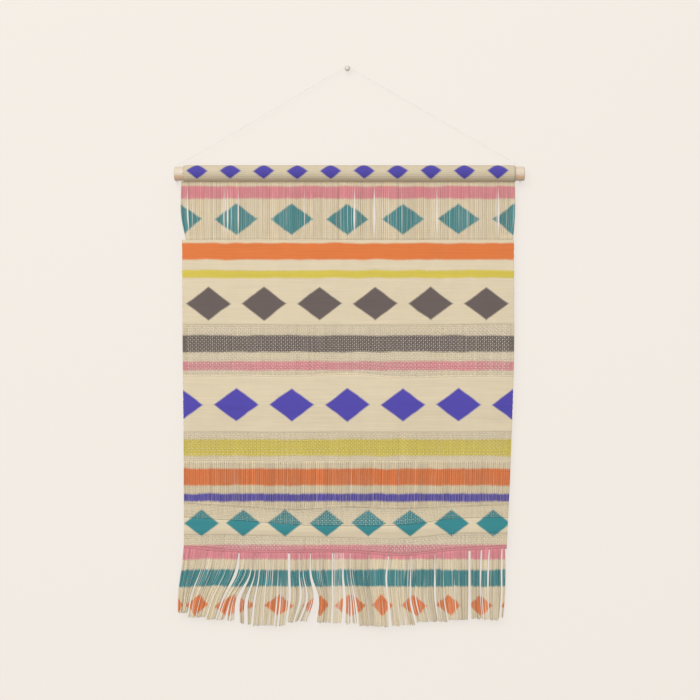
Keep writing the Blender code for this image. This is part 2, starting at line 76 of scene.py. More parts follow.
# Pin, read against its solid
PIN_SHANK_SHARE = 0.714  # shank's radius as a share of the head's
PIN_HEAD_OUT = 10.5 * MM
PIN_HEAD_RADIUS = 4.9 * MM
PIN_TURNS = 56
PIN_NECK_RUN = 0.3 * MM  # the shank flares this close to the head's back
PIN_NECK_FLARE = 0.5 * MM
PIN_SHAPE = (
    # height over the head's back (mm), radius as a share of the head's
    (0.0, 0.74),
    (0.2, 0.84),
    (0.7, 0.94),
    (1.3, 0.985),
    (1.9, 1.00),
    (2.6, 0.98),
    (3.4, 0.92),
    (4.1, 0.81),
    (4.7, 0.66),
    (5.2, 0.47),
    (5.5, 0.28),
    (5.65, 0.12),
)

# String and knots, with the route of the solid's centreline: x, y, z in mm
STRING_DIAMETER = 1.0 * MM
STRING_PLY_TURN = 3.2 * MM
STRING_SIDES = 10
STRING_STEP = 0.4 * MM
PLY_WAIST = 0.16  # how far the groove between the two plies cuts in, as a share of the radius
STRING_ROUTE = (
    (-306.70, -15.0, -202.60),
    (-306.70, -15.0, -190.00),
    (-306.70, -15.0, -181.00),
    (-306.70, -15.0, -177.30),
    (-306.43, -15.0, -176.30),
    (-305.71, -15.0, -175.57),
    (-302.50, -14.9, -173.70),
    (-250.00, -13.5, -142.69),
    (-165.00, -11.3, -92.48),
    (-80.00, -9.1, -42.27),
    (-12.00, -7.3, -2.10),
    (-2.19, -7.0, 3.70),
    (-1.10, -7.0, 4.16),
    (0.00, -7.0, 4.30),
    (1.10, -7.0, 4.16),
    (2.16, -7.0, 3.72),
    (12.00, -7.3, -2.01),
    (85.00, -9.2, -44.50),
    (170.00, -11.3, -93.98),
    (255.00, -13.5, -143.46),
    (307.00, -14.9, -173.73),
    (310.21, -15.0, -175.57),
    (310.93, -15.0, -176.30),
    (311.20, -15.0, -177.30),
    (311.20, -15.0, -181.00),
    (311.20, -15.0, -190.00),
    (311.20, -15.0, -202.60),
)
KNOT_SIZE = 0.60 * MM  # scale of the overhand knot's turns
KNOT_DROP = 2.0 * MM  # from the dowel's underside to the knot's middle
KNOT_STEPS = 72
KNOT_GAP = 0.42  # radians of the knot's turns left open, where its ends leave
KNOT_FLATNESS = 0.9
KNOT_ENTRY = (0.6, -0.1)  # mm over the dowel's underside
KNOT_STEP = 0.5 * STRING_STEP
TAIL_DROPS = (4.6, 6.2, 8.0, 9.8)  # mm under the dowel
TAIL_SWINGS = {"left": 1.6 * MM, "right": -1.1 * MM}

# Dowel
DOWEL_TURNS = 72
DOWEL_EDGE = 2.4 * MM
DOWEL_EDGE_STEPS = 5
SHARP_FROM = 35  # degrees between two faces
HOLE_RADIUS = 1.0 * MM
HOLE_TURNS = 24
LOWER_SHADE_BELOW = 8.6 * MM  # painted shade: a redder, darker band along the rod's lower side, below its middle
LOWER_SHADE_HALF = 6.0 * MM
LOWER_SHADE_SHARE = 0.62

# Sleeve
SLEEVE_SLACK = 0.35 * MM
SLEEVE_CLOTH = 1.8 * MM
SLEEVE_THIN = 1.0 * MM  # the cloth where it is drawn tight under the dowel
SLEEVE_ROUND = 150  # points round the sleeve
SLEEVE_ALONG = 110
SLEEVE_RIB = 3.6 * MM
SLEEVE_RIB_HEIGHT = 0.55 * MM
SLEEVE_RIB_LEAST = 0.1  # share of a rib's height that is left under the dowel
SLEEVE_TAIL_POINTS = 7
SLEEVE_TAIL = 1.6 * MM  # how far the tail comes out under the dowel
SLEEVE_LEFT_END = 3.0 * MM  # how far from its ends the sleeve's top is drawn down to the rod
SLEEVE_RIGHT_END = 9.0 * MM
SLEEVE_SEAM = 0.72 * MM  # half of the gap between the tail's two layers, at their middles
SLEEVE_PUCKERS = (
    # share of the length, share of the round, half length and half round (mm), outwards (mm)
    (0.07, 0.62, 14.0, 7.0, 0.35),
    (0.24, 0.40, 26.0, 6.0, 0.30),
    (0.41, 0.66, 18.0, 8.0, -0.30),
    (0.58, 0.55, 24.0, 7.0, 0.34),
    (0.79, 0.70, 16.0, 7.0, -0.28),
    (0.93, 0.58, 12.0, 8.0, 0.36),
)

# Cloth: lines of weft that part its bands, sides and folds, as in its solids
STATIONS = (-300.0, -200.0, -100.0, 0.0, 100.0, 200.0, 300.0)  # x (mm)
WEFT_LINES = {
    # drops (mm) at the stations
    "warp_foot": (309.5, 309.5, 309.5, 309.5, 309.5, 309.5, 309.5),
    "upper_gauze_head": (462.5, 462.8, 463.4, 463.6, 463.4, 462.5, 461.6),
    "upper_gauze_foot": (554.3, 554.3, 555.2, 551.0, 557.6, 555.4, 555.4),
    "middle_gauze_head": (656.0, 656.0, 656.6, 656.0, 656.0, 655.7, 655.2),
    "ribs_head": (710.0, 710.2, 710.6, 710.0, 709.8, 709.2, 709.2),
    "ribs_foot": (780.2, 786.5, 791.9, 788.3, 790.1, 786.5, 782.3),
    "lower_dense_head": (808.6, 814.4, 821.6, 824.3, 822.1, 810.8, 809.2),
    "lower_dense_foot": (840.5, 841.4, 843.6, 845.9, 847.7, 838.3, 838.0),
    "fringe_root": (862.1, 870.2, 871.1, 871.1, 876.5, 867.5, 862.1),
}
LEFT = 1  # columns of CLOTH_SIDES
RIGHT = 2
CLOTH_SIDES = (
    # drop, left side, right side (mm)
    (205.0, -299.3, 301.7),
    (309.5, -297.7, 299.9),
    (507.5, -296.5, 299.9),
    (687.5, -294.5, 294.5),
    (780.0, -294.2, 290.6),
    (880.0, -294.0, 285.8),
)
FOLDS = (
    # x (mm), half width (mm), how far forward at the top and at the foot (mm), lean (mm)
    (-262.0, 55.0, 0.4, 2.6, -8.0),
    (-176.0, 62.0, -0.5, -2.4, -14.0),
    (-96.0, 58.0, 0.5, 2.0, 6.0),
    (-10.0, 66.0, -0.3, -1.4, 10.0),
    (74.0, 60.0, 0.6, 2.2, 12.0),
    (158.0, 58.0, -0.4, -1.9, 4.0),
    (246.0, 64.0, 0.5, 2.8, -6.0),
)
BELLIES = (
    # drop (mm), half height (mm), how far forward (mm)
    (386.0, 70.0, 0.9),
    (508.0, 40.0, -0.8),
    (604.0, 44.0, 1.2),
    (683.0, 24.0, -0.7),
    (746.0, 34.0, 0.8),
    (806.0, 16.0, -1.3),
    (832.0, 16.0, 1.5),
)
CREASES = (
    # x, drop, half length, half width (mm), forward (mm), turn from upright (degrees)
    (-238.0, 402.0, 74.0, 11.0, -0.5, 8.0),
    (-124.0, 372.0, 60.0, 14.0, 0.45, -5.0),
    (-18.0, 428.0, 52.0, 12.0, 0.4, 10.0),
    (70.0, 384.0, 66.0, 12.0, -0.45, 6.0),
    (188.0, 366.0, 58.0, 13.0, 0.5, -9.0),
    (262.0, 430.0, 44.0, 10.0, -0.45, 12.0),
    (-215.0, 606.0, 80.0, 9.0, 0.5, 82.0),
    (-60.0, 582.0, 110.0, 8.0, -0.42, 87.0),
    (-20.0, 628.0, 120.0, 9.0, 0.45, 93.0),
    (160.0, 596.0, 110.0, 8.0, 0.42, 95.0),
    (236.0, 634.0, 70.0, 9.0, -0.45, 84.0),
    (-130.0, 833.0, 90.0, 7.0, 0.5, 88.0),
    (120.0, 830.0, 100.0, 7.0, 0.45, 93.0),
)
SLEEVE_FOOT = 202.9  # mm below the pin: the dowel's underside
CLOTH_FOOT = 880.0
DENSE_THICKNESS = 1.7 * MM
DENSE_BANDS = {
    # head and foot lines, columns, rows
    "upper": ("warp_foot", "upper_gauze_head", 250, 66),
    "middle": ("upper_gauze_foot", "middle_gauze_head", 250, 46),
    "lower": ("lower_dense_head", "lower_dense_foot", 220, 14),
}
RIM_STEPS = ((0.0, 0.30), (0.35, 0.72), (0.9, 0.94), (1.7, 1.0))  # mm inwards, thickness share
BAND_END = 0.2  # thickness share where a dense band meets the next weave
SELVEDGE_WANDER = 0.35 * MM
SELVEDGE_REACH = 8.0  # mm inwards

# Yarns. A lie is how far even and odd ends are behind the middle layer (mm), a shade how much painted
# shade darkens the odd ends, which lie further back, and a slip how far a yarn's print is up or down
# from its place
SEEDS = {"ribs": 7, "open_warp": 11, "cords": 23, "fringe": 31, "fringe_ends": 37, "gauze": 40}
WARP_WEAVE_PITCH = 1.9 * MM
WARP_ENDS = 316
WARP_WIDTH = 1.96 * MM
WARP_DEPTH = 1.25 * MM
PLY_TURN = 4.5 * MM
YARN_SIDES = 6
TUCK = 2.5 * MM  # how far a yarn runs on into the next band
WARP_HEAD = 204.0 * MM  # drop where the open yarns leave the sleeve's tail
WARP_STEPS = 15
WARP_MIDDLE = 0.58
WARP_PULL_LEFT = 9.0 * MM
WARP_PULL_RIGHT = 3.5 * MM
WARP_PULL_REACH = 16.0 * MM
WARP_SLITS = (
    # x (mm), width (mm), reach to each side (mm)
    (-287.5, 3.6, 7.0),
    (-216.0, 3.4, 9.0),
    (-196.0, 2.4, 7.0),
    (12.0, 4.6, 10.0),
    (48.0, 4.2, 10.0),
    (161.0, 3.2, 8.0),
    (270.5, 4.0, 9.0),
)
WARP_PULLED = 0.08  # share of the pull where a slit is widest
WARP_SWAY = 0.22 * MM
WARP_LIE = (-0.55, 0.5)
WARP_UNEVEN = 0.25 * MM
WARP_TONE = 1.09
WARP_TONE_SPREAD = 0.05
WARP_SHADE = 0.14
WARP_SLIP = 0.35 * MM
FINE_SLITS = 16
FINE_SLIT_WIDTHS = (0.7, 1.6)  # mm
FINE_SLIT_REACH = 4.0 * MM

# Ribs
RIB_STEPS = 13
RIB_TUCK = 0.04  # how far a rib runs past its weft lines, as a share of the band
RIB_STRAY = 0.00016  # shares of the cloth's width
RIB_SWAY = 0.0002
RIB_LIE = (-0.62, 0.5)
RIB_UNEVEN = 0.12 * MM
RIB_TONE = 1.05
RIB_TONE_SPREAD = 0.06
RIB_SHADE = 0.17
RIB_WIDTHS = (1.0, 1.14)  # shares of a warp end's width

# Gauze: flat warp ends that lean together and apart between thick wefts
GAUZE_ENDS = 160
GAUZE_END_WIDTH = 2.95 * MM
GAUZE_WEFT_HEIGHT = 2.1 * MM
GAUZE_YARN_DEPTH = 0.8 * MM
GAUZE_WEFT_PITCH = 3.0 * MM
GAUZE_SWAY = 0.3 * MM  # neighbours lean together and apart between wefts
GAUZE_WAVE = 0.42 * MM
SELVEDGE_YARNS = 4
SELVEDGE_PITCH = 1.55 * MM
SELVEDGE_WIDTH = 1.15 * SELVEDGE_PITCH
SELVEDGE_GAP = 0.3 * MM
GAUZE_WIDTH_AT = 0.6  # drop at which the gauze's width is read
GAUZE_END_STRAY = 0.10 * MM
GAUZE_WEFT_STRAY = 0.25 * MM
GAUZE_END_TONE_SPREAD = 0.04
GAUZE_WEFT_TONE_SPREAD = 0.03
GAUZE_WEFT_HEIGHTS = (0.85, 1.15)  # shares of a weft's height
GAUZE_BANDS = {
    # head and foot lines, tone
    "upper": ("upper_gauze_head", "upper_gauze_foot", 0.96),
    "middle": ("middle_gauze_head", "ribs_head", 0.97),
    "lower": ("ribs_foot", "lower_dense_head", 1.0),
    "foot": ("lower_dense_foot", "fringe_root", 0.99),
}

# Thick wefts that show as lines across the cloth
WEFT_CORDS = (
    # line, step under it (mm), half height, half depth (mm), tone, which paints a highlight on a lit
    # ridge above 1 and a shadow line below 1
    ("warp_foot", 0.5, 1.1, 0.95, 1.00),
    ("warp_foot", 2.4, 1.1, 1.00, 1.03),
    ("upper_gauze_foot", -0.8, 0.75, 1.20, 1.16),
    ("ribs_head", -0.4, 0.7, 0.80, 0.86),
    ("ribs_foot", 0.0, 1.0, 0.90, 0.98),
    ("lower_dense_head", -0.4, 0.6, 0.95, 0.62),
    ("fringe_root", -3.6, 0.8, 0.90, 0.72),
    ("fringe_root", -1.8, 1.0, 0.85, 1.00),
    ("fringe_root", 0.2, 0.8, 1.00, 0.74),
)
WEFT_CORD_STEPS = 320
WEFT_CORD_SIDES = 8
WEFT_CORD_WEAVE = 0.16 * MM  # forward and back over the warp
WEFT_CORD_WANDER = 0.3 * MM
WEFT_CORD_BENDS = 14
WEFT_CORD_BEAD = 0.12

# Fringe
FRINGE_LEVELS = (0.0, 0.34, 0.68, 1.0)  # shares of a lock's drop
FRINGE_PITCH = 1.75 * MM
FRINGE_STEPS = 18
FRINGE_LAST = 0.994  # drop share of the last ring but one, so only the cut end narrows
FRINGE_WIDTH = 2.15 * MM
FRINGE_DEPTH = 1.3 * MM
FRINGE_SPREAD = 1.3 * MM  # how far a yarn lies before or behind its lock's middle
FRINGE_STRAY = 0.7 * MM
FRINGE_CURL = 0.3 * MM
FRINGE_WAVES = (0.5, 1.5)
FRINGE_SLIP = 0.6 * MM
FRINGE_TONE_SPREAD = 0.09
FRINGE_WIDTHS = (0.85, 1.12)  # shares of a yarn's width
FRINGE_CUT_WIDTH = 0.85
CUT_UNEVEN = 0.8 * MM
FRINGE_LOCKS = (
    # left and right side at the four levels, foot's drop, forward (mm), fullness, tone
    (-294.2, -254.7, -298.4, -264.4, -303.1, -279.7, -304.4, -288.2, 979.5, 1.0, 1.0, 1.0),
    (-254.2, -213.4, -263.6, -221.4, -279.0, -242.6, -286.6, -255.6, 988.0, -1.0, 1.0, 1.05),
    (-212.8, -194.8, -220.6, -204.2, -241.8, -224.4, -254.4, -238.4, 992.0, 1.5, 1.0, 1.04),
    (-193.2, -181.0, -198.6, -185.4, -221.6, -209.8, -237.0, -222.6, 993.0, 0.0, 1.0, 0.97),
    (-180.2, -174.0, -183.4, -176.2, -207.8, -199.8, -217.4, -204.2, 994.0, 2.0, 1.0, 0.98),
    (-173.4, -166.6, -174.4, -168.4, -192.8, -184.6, -193.8, -186.4, 999.0, 0.0, 1.0, 0.96),
    (-166.0, -159.4, -166.6, -160.2, -178.4, -169.2, -180.2, -173.6, 1001.0, -1.5, 1.0, 0.97),
    (-158.8, -143.4, -158.6, -146.6, -166.2, -152.2, -171.4, -154.8, 1003.0, 1.0, 1.0, 1.02),
    (-142.6, -107.4, -144.0, -107.0, -149.0, -107.4, -152.0, -112.6, 1003.5, -0.5, 1.0, 1.0),
    (-103.0, -87.4, -103.2, -87.6, -101.6, -86.4, -107.4, -98.0, 996.5, 1.0, 1.0, 0.98),
    (-85.8, -80.0, -85.6, -79.6, -82.2, -74.6, -94.2, -88.0, 995.5, -1.0, 1.0, 0.96),
    (-78.8, -67.4, -78.0, -68.2, -71.6, -61.8, -86.2, -74.6, 995.0, 2.0, 1.0, 0.98),
    (-65.4, -28.0, -63.6, -28.2, -50.2, -28.4, -53.8, -30.8, 997.5, 0.0, 1.0, 0.95),
    (-26.0, -6.4, -25.4, -9.6, -25.4, -7.2, -26.2, -10.8, 998.5, -1.5, 0.6, 1.12),
    (-5.6, 4.4, -6.6, 4.6, -2.6, 12.6, -5.0, 18.0, 1000.0, 1.0, 1.0, 1.0),
    (5.6, 38.0, 6.6, 38.0, 16.4, 44.8, 21.8, 48.6, 1003.5, 0.0, 1.0, 0.97),
    (38.8, 73.8, 38.8, 68.4, 45.6, 72.8, 49.4, 74.8, 1004.5, 0.6, 0.9, 1.09),
    (76.0, 114.4, 71.6, 112.4, 76.0, 111.6, 80.4, 121.4, 1002.5, -1.0, 1.0, 1.04),
    (115.6, 157.4, 114.8, 156.4, 114.8, 156.6, 124.6, 163.2, 996.5, 1.0, 1.0, 1.0),
    (158.4, 171.8, 159.4, 172.0, 159.8, 173.4, 165.2, 180.2, 996.0, -0.5, 1.0, 0.97),
    (172.8, 217.4, 173.2, 217.8, 175.2, 217.4, 182.4, 216.4, 993.0, 0.8, 1.0, 1.01),
    (221.8, 240.0, 221.8, 237.6, 222.2, 237.6, 223.6, 240.4, 990.5, -1.0, 1.0, 0.98),
    (242.4, 254.4, 241.6, 251.6, 241.6, 251.4, 244.2, 254.4, 991.5, 1.0, 1.0, 1.03),
    (256.4, 277.0, 255.4, 276.0, 255.0, 275.4, 257.4, 272.4, 992.5, -0.5, 1.0, 0.98),
    (279.0, 283.2, 278.8, 284.6, 278.4, 284.0, 275.8, 280.6, 989.0, 0.5, 1.0, 1.05),
)
WISPS = 2  # fibres that part at a yarn's cut end
WISP_STEPS = 4
WISP_LENGTH = 2.4 * MM
WISP_RADIUS = 0.16 * MM
WISP_BACK = 1.0 * MM  # how far inside the cut end a wisp begins
WISP_SCATTER = 0.35 * MM
WISP_SCATTER_WAYS = (1, 0.6, 0)
WISP_SPREAD = (0.28, 0.2, 0.06)
WISP_LENGTHS = (0.35, 1.0)  # shares of the longest
WISP_TIP = 0.35
WISP_SIDES = 3

# Print: a plain design of stripes and rows of diamonds in six inks on a sand ground
PRINT_EDGE = 2.4 * MM  # half of the soft edge round an ink
PRINT_WANDER = 6.0 * MM
BACK_INK = 0.25  # how much ink shows on the back of the cloth
INK_FROM = -0.35  # sine of a yarn's turn to the front where its ink begins
INK_TO = 0.65
YARN_DRIFT = 0.55  # how far a yarn's printed side turns away, in radians
DRIFT_CHANGE = 7.3  # makes neighbouring yarns turn by unlike amounts
PRINT_PATCH_SCALE = 26.0
PRINT_THREADS = (520.0, 1.0, 60.0)  # makes the ink's edge step from thread to thread
PRINT_THREAD_SHARE = 0.12
STRIPES = (
    # drop of the middle (mm), half height (mm), ink
    (224.0, 11.0, "pink"),
    (330.0, 15.0, "orange"),
    (371.0, 7.0, "mustard"),
    (496.0, 15.0, "taupe"),
    (536.0, 8.0, "pink"),
    (683.0, 15.0, "mustard"),
    (736.0, 15.0, "orange"),
    (773.0, 7.0, "indigo"),
    (871.0, 13.0, "pink"),
    (918.0, 15.0, "teal"),
)
DIAMONDS = (
    # drop of the middle, half height, pitch, half width (mm), share of a pitch aside, ink
    (181.0, 15.0, 60.0, 19.0, 0.5, "indigo"),
    (272.0, 28.0, 100.0, 38.0, 0.0, "teal"),
    (424.0, 30.0, 100.0, 40.0, 0.5, "taupe"),
    (606.0, 30.0, 100.0, 40.0, 0.0, "indigo"),
    (819.0, 24.0, 75.0, 31.0, 0.5, "teal"),
    (967.0, 19.0, 60.0, 23.0, 0.0, "orange"),
)


def paint(red, green, blue):
    """A colour given as a screen shows it, 0 to 255, in the linear values that shaders take."""
    shares = np.array((red, green, blue)) / 255.0
    linear = np.where(shares <= 0.04045, shares / 12.92, ((shares + 0.055) / 1.055) ** 2.4)
    return (*linear.tolist(), 1.0)


WALL_COLOUR = paint(243, 236, 228)
FLOOR_COLOUR = paint(238, 230, 221)
FLOOR_BOUNCE = paint(172, 172, 172)
GROUND = paint(225, 209, 178)
INKS = {
    "indigo": paint(80, 70, 172),
    "teal": paint(50, 136, 142),
    "pink": paint(222, 138, 146),
    "orange": paint(226, 122, 60),
    "mustard": paint(214, 194, 78),
    "taupe": paint(104, 92, 88),
}
TWINE = paint(239, 235, 229)
PIN_PAINT = paint(224, 214, 202)
# painted shade: the pin head's paint darkens towards its rim, leaving a lighter middle as a painted
# highlight
PIN_RIM_PAINTED_SHADE = 0.84
WOOD_LIGHT = paint(224, 215, 198)
WOOD_DARK = paint(210, 171, 133)
# painted shade: the redder, darker colour of the band along the rod's lower side
WOOD_LOWER_SHADE = paint(222, 168, 118)

# Looks: patch scale, fuzz scale and depth of each mottle, and each range of roughness
MOTTLES = {
    "cloth": (38.0, 900.0, 0.16),
    "yarn": (120.0, 1400.0, 0.18),
    "twine": (160.0, 2400.0, 0.2),
    "wood": (22.0, 300.0, 0.14),
    "pin": (260.0, 1600.0, 0.12),
}
FUZZ_FROM = 0.2  # the fuzz that gives each end of a range of roughness
FUZZ_TO = 0.8
CLOTH_ROUGHNESS = (0.80, 0.95)
YARN_ROUGHNESS = (0.72, 0.9)
PIN_ROUGHNESS = (0.32, 0.46)
WOOD_ROUGHNESS = (0.48, 0.66)
CLOTH_LOOKS = {
    # weft pitch, painted shade in a groove, relief, painted shade over all
    "printed_cloth": (1.15 * MM, 0.88, 0.22 * MM, 1.0),
    "ribbed_cloth": (SLEEVE_RIB, 0.70, 0.5 * MM, 0.90),
}
RING_PITCH = 2.6 * MM  # growth rings, about a heart before and below the rod
RING_BEND = 3.2 * MM
HEART_FORWARD = 2.9  # from the wall, in radii of the dowel
HEART_BELOW = 1.6  # from the rod's middle, in radii of the dowel
WOOD_BENDS = (3.5, 45.0, 45.0)
WOOD_PORES = (30.0, 1400.0, 1400.0)
# where the painted shade on the pin head begins and where it is full
PIN_SHADE_FROM = 0.25  # shares of the head's radius
PIN_SHADE_TO = 0.8


def smooth_through(stations, values, at):
    """A smooth curve through values at stations, read at the given places."""
    stations = np.asarray(stations, float)
    values = np.asarray(values, float)
    slopes = np.gradient(values, stations)
    at = np.clip(at, stations[0], stations[-1])
    cell = np.clip(np.searchsorted(stations, at, side="right") - 1, 0, len(stations) - 2)
    width = stations[cell + 1] - stations[cell]
    t = (at - stations[cell]) / width
    start = (2 * t**3 - 3 * t**2 + 1) * values[cell]
    end = (3 * t**2 - 2 * t**3) * values[cell + 1]
    bend = ((t**3 - 2 * t**2 + t) * slopes[cell] + (t**3 - t**2) * slopes[cell + 1]) * width
    return start + end + bend


def line_drop(name, x):
    """How far below the pin a weft line is at x."""
    return smooth_through(STATIONS, WEFT_LINES[name], x / MM) * MM


def cloth_side(column, drop):
    """X of the cloth's left (1) or right (2) side at a drop."""
    drops = [row[0] for row in CLOTH_SIDES]
    sides = [row[column] for row in CLOTH_SIDES]
    return smooth_through(drops, sides, drop / MM) * MM


def hump(distance, half_width):
    """One at the middle of a fold, falling softly to nothing at its half width."""
    inside = np.abs(distance) < half_width
    return np.where(inside, 0.5 + 0.5 * np.cos(math.pi * distance / half_width), 0.0)


def cloth_depth(x, drop):
    """Y of the cloth's middle layer: the folds of its solid, and the finer creases."""
    x = x / MM
    drop = drop / MM
    share = np.clip((drop - SLEEVE_FOOT) / (CLOTH_FOOT - SLEEVE_FOOT), 0.0, 1.0)
    forward = np.zeros(np.broadcast(x, drop).shape)
    for centre, half_width, top, foot, lean in FOLDS:
        height = top * np.minimum(1.0, 8.0 * share) * (1.0 - share) + foot * share
        forward += height * hump(x - centre - lean * share, half_width)
    for middle, half_height, belly in BELLIES:
        forward += belly * hump(drop - middle, half_height)
    for centre, middle, half_length, half_width, height, turn in CREASES:
        lean = math.radians(turn)
        across = (x - centre) * math.cos(lean) - (drop - middle) * math.sin(lean)
        along = (x - centre) * math.sin(lean) + (drop - middle) * math.cos(lean)
        forward += height * hump(along, half_length) * hump(across, half_width)
    return DOWEL_Y - forward * MM


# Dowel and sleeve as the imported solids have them
dowel_low, dowel_high = (Vector(corner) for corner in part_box("dowel"))
DOWEL_RADIUS = (dowel_high.z - dowel_low.z) / 2
DOWEL_Y = (dowel_high.y + dowel_low.y) / 2
DOWEL_Z = (dowel_high.z + dowel_low.z) / 2
sleeve_low, sleeve_high = (Vector(corner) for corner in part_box("rod_sleeve"))


class Wires:
    """Adds nodes to one tree and joins them."""

    def __init__(self, tree):
        self.tree = tree

    def feed(self, value, socket):
        if isinstance(value, bpy.types.NodeSocket):
            self.tree.links.new(value, socket)
        else:
            socket.default_value = value

    def add(self, kind, inputs=None, **settings):
        node = self.tree.nodes.new(kind)
        for name, value in settings.items():
            setattr(node, name, value)
        for place, value in (inputs or {}).items():
            self.feed(value, node.inputs[place])
        return node

    def math(self, operation, *values):
        node = self.add("ShaderNodeMath", dict(enumerate(values)), operation=operation)
        return node.outputs[0]

    def soft_step(self, value, start, end, first=0.0, last=1.0):
        inputs = {"Value": value, "From Min": start, "From Max": end, "To Min": first, "To Max": last}
        node = self.add("ShaderNodeMapRange", inputs, interpolation_type="SMOOTHSTEP")
        return node.outputs["Result"]

    def noise(self, place, scale, detail=2.0):
        inputs = {"Vector": place, "Scale": scale, "Detail": detail}
        return self.add("ShaderNodeTexNoise", inputs).outputs["Fac"]

    def stretch(self, place, scales):
        node = self.add("ShaderNodeVectorMath", {0: place, 1: scales}, operation="MULTIPLY")
        return node.outputs["Vector"]

    def blend(self, share, first, second):
        node = self.add("ShaderNodeMix", data_type="RGBA")
        for name, value in (("Factor_Float", share), ("A_Color", first), ("B_Color", second)):
            socket = next(s for s in node.inputs if s.identifier == name)
            self.feed(value, socket)
        return next(s for s in node.outputs if s.identifier == "Result_Color")

    def shade(self, colour, value):
        node = self.add("ShaderNodeVectorMath", {0: colour, "Scale": value}, operation="SCALE")
        return node.outputs["Vector"]

    def split(self, place):
        return self.add("ShaderNodeSeparateXYZ", {0: place}).outputs

    def bump(self, height, distance, strength=1.0):
        inputs = {"Height": height, "Distance": distance, "Strength": strength}
        return self.add("ShaderNodeBump", inputs).outputs["Normal"]


def new_group(name, inputs, outputs):
    """A shader group with named sockets, its wires, and its inputs' sockets."""
    group = bpy.data.node_groups.new(name, "ShaderNodeTree")
    for socket, kind in inputs:
        group.interface.new_socket(socket, in_out="INPUT", socket_type=kind)
    for socket, kind in outputs:
        group.interface.new_socket(socket, in_out="OUTPUT", socket_type=kind)
    entry = group.nodes.new("NodeGroupInput")
    leave = group.nodes.new("NodeGroupOutput")
    return group, Wires(group), entry.outputs, leave.inputs


VALUE = "NodeSocketFloat"
VECTOR = "NodeSocketVector"
COLOUR = "NodeSocketColor"


def make_print_group():
    """The printed design, read at a place on the flat cloth."""
    group, wires, given, out = new_group(
        "stripe_print", [("Place", VECTOR), ("Bleed", VALUE)], [("Color", COLOUR)]
    )
    slow = wires.noise(given["Place"], PRINT_PATCH_SCALE, 3.0)
    quick = wires.noise(wires.stretch(given["Place"], PRINT_THREADS), 1.0, 1.0)
    quick = wires.math("SUBTRACT", quick, 0.5)
    wander = wires.math("MULTIPLY_ADD", quick, PRINT_THREAD_SHARE, slow)
    wander = wires.math("MULTIPLY", wires.math("SUBTRACT", wander, 0.5), given["Bleed"])
    across = wires.split(given["Place"])[0]
    drop = wires.math("SUBTRACT", wander, wires.split(given["Place"])[2])
    colour = GROUND
    for middle, half, name in STRIPES:
        away = wires.math("ABSOLUTE", wires.math("SUBTRACT", drop, middle * MM))
        inside = wires.soft_step(away, half * MM - PRINT_EDGE, half * MM + PRINT_EDGE, 1.0, 0.0)
        colour = wires.blend(inside, colour, INKS[name])
    for middle, half, pitch, half_width, aside, name in DIAMONDS:
        turn = wires.math("ADD", wires.math("DIVIDE", across, pitch * MM), aside + 0.5)
        beside = wires.math("ABSOLUTE", wires.math("SUBTRACT", wires.math("FRACT", turn), 0.5))
        beside = wires.math("MULTIPLY", beside, pitch / half_width)
        away = wires.math("ABSOLUTE", wires.math("SUBTRACT", drop, middle * MM))
        away = wires.math("DIVIDE", away, half * MM)
        reach = wires.math("ADD", beside, away)
        edge = PRINT_EDGE / (half * MM)
        inside = wires.soft_step(reach, 1.0 - edge, 1.0 + edge, 1.0, 0.0)
        colour = wires.blend(inside, colour, INKS[name])
    wires.feed(colour, out["Color"])
    return group


def make_ply_group():
    """Ridges of a two-ply yarn, and a tone with painted shade in the groove between its plies, from
    its turn and the way along it.
    """
    group, wires, given, out = new_group(
        "yarn_ply",
        [("Way", VECTOR), ("Ply Turn", VALUE)],
        [("Height", VALUE), ("Tone", VALUE)],
    )
    side, front, along = wires.split(given["Way"])
    turn = wires.math("DIVIDE", wires.math("ARCTAN2", front, side), math.pi)
    turn = wires.math("ADD", turn, wires.math("DIVIDE", along, given["Ply Turn"]))
    ridge = wires.math("ABSOLUTE", wires.math("SINE", wires.math("MULTIPLY", turn, math.pi)))
    ridge = wires.math("POWER", ridge, 0.6)
    wires.feed(ridge, out["Height"])
    # painted shade: the yarn is darker in the groove between its plies
    wires.feed(wires.soft_step(ridge, 0.0, 1.0, 0.84, 1.03), out["Tone"])
    return group


def make_weave_group():
    """Height and tone of a close plain weave, from a place on the flat cloth. The tone paints shade
    into the weave's grooves and adds uneven weft streaks.
    """
    group, wires, given, out = new_group(
        "plain_weave",
        [("Place", VECTOR), ("Warp Pitch", VALUE), ("Weft Pitch", VALUE), ("Painted Groove Shade", VALUE)],
        [("Height", VALUE), ("Tone", VALUE)],
    )
    across, _, up = wires.split(given["Place"])
    end = wires.math("DIVIDE", across, given["Warp Pitch"])
    pick = wires.math("DIVIDE", up, given["Weft Pitch"])
    crown = wires.math("ABSOLUTE", wires.math("SINE", wires.math("MULTIPLY", pick, math.pi)))
    stagger = wires.math("ADD", end, wires.math("FLOOR", pick))
    over = wires.math("SINE", wires.math("MULTIPLY", stagger, math.pi))
    over = wires.math("MULTIPLY_ADD", over, 0.5, 0.5)
    height = wires.math("MULTIPLY_ADD", crown, 0.55, wires.math("MULTIPLY", over, 0.45))
    streak = wires.noise(wires.stretch(given["Place"], (9.0, 1.0, 420.0)), 1.0, 3.0)
    # painted shade: the weave is darker in its grooves
    tone = wires.soft_step(height, 0.0, 0.9, given["Painted Groove Shade"], 1.03)
    tone = wires.math("MULTIPLY", tone, wires.soft_step(streak, 0.30, 0.70, 0.955, 1.03))
    wires.feed(height, out["Height"])
    wires.feed(tone, out["Tone"])
    return group


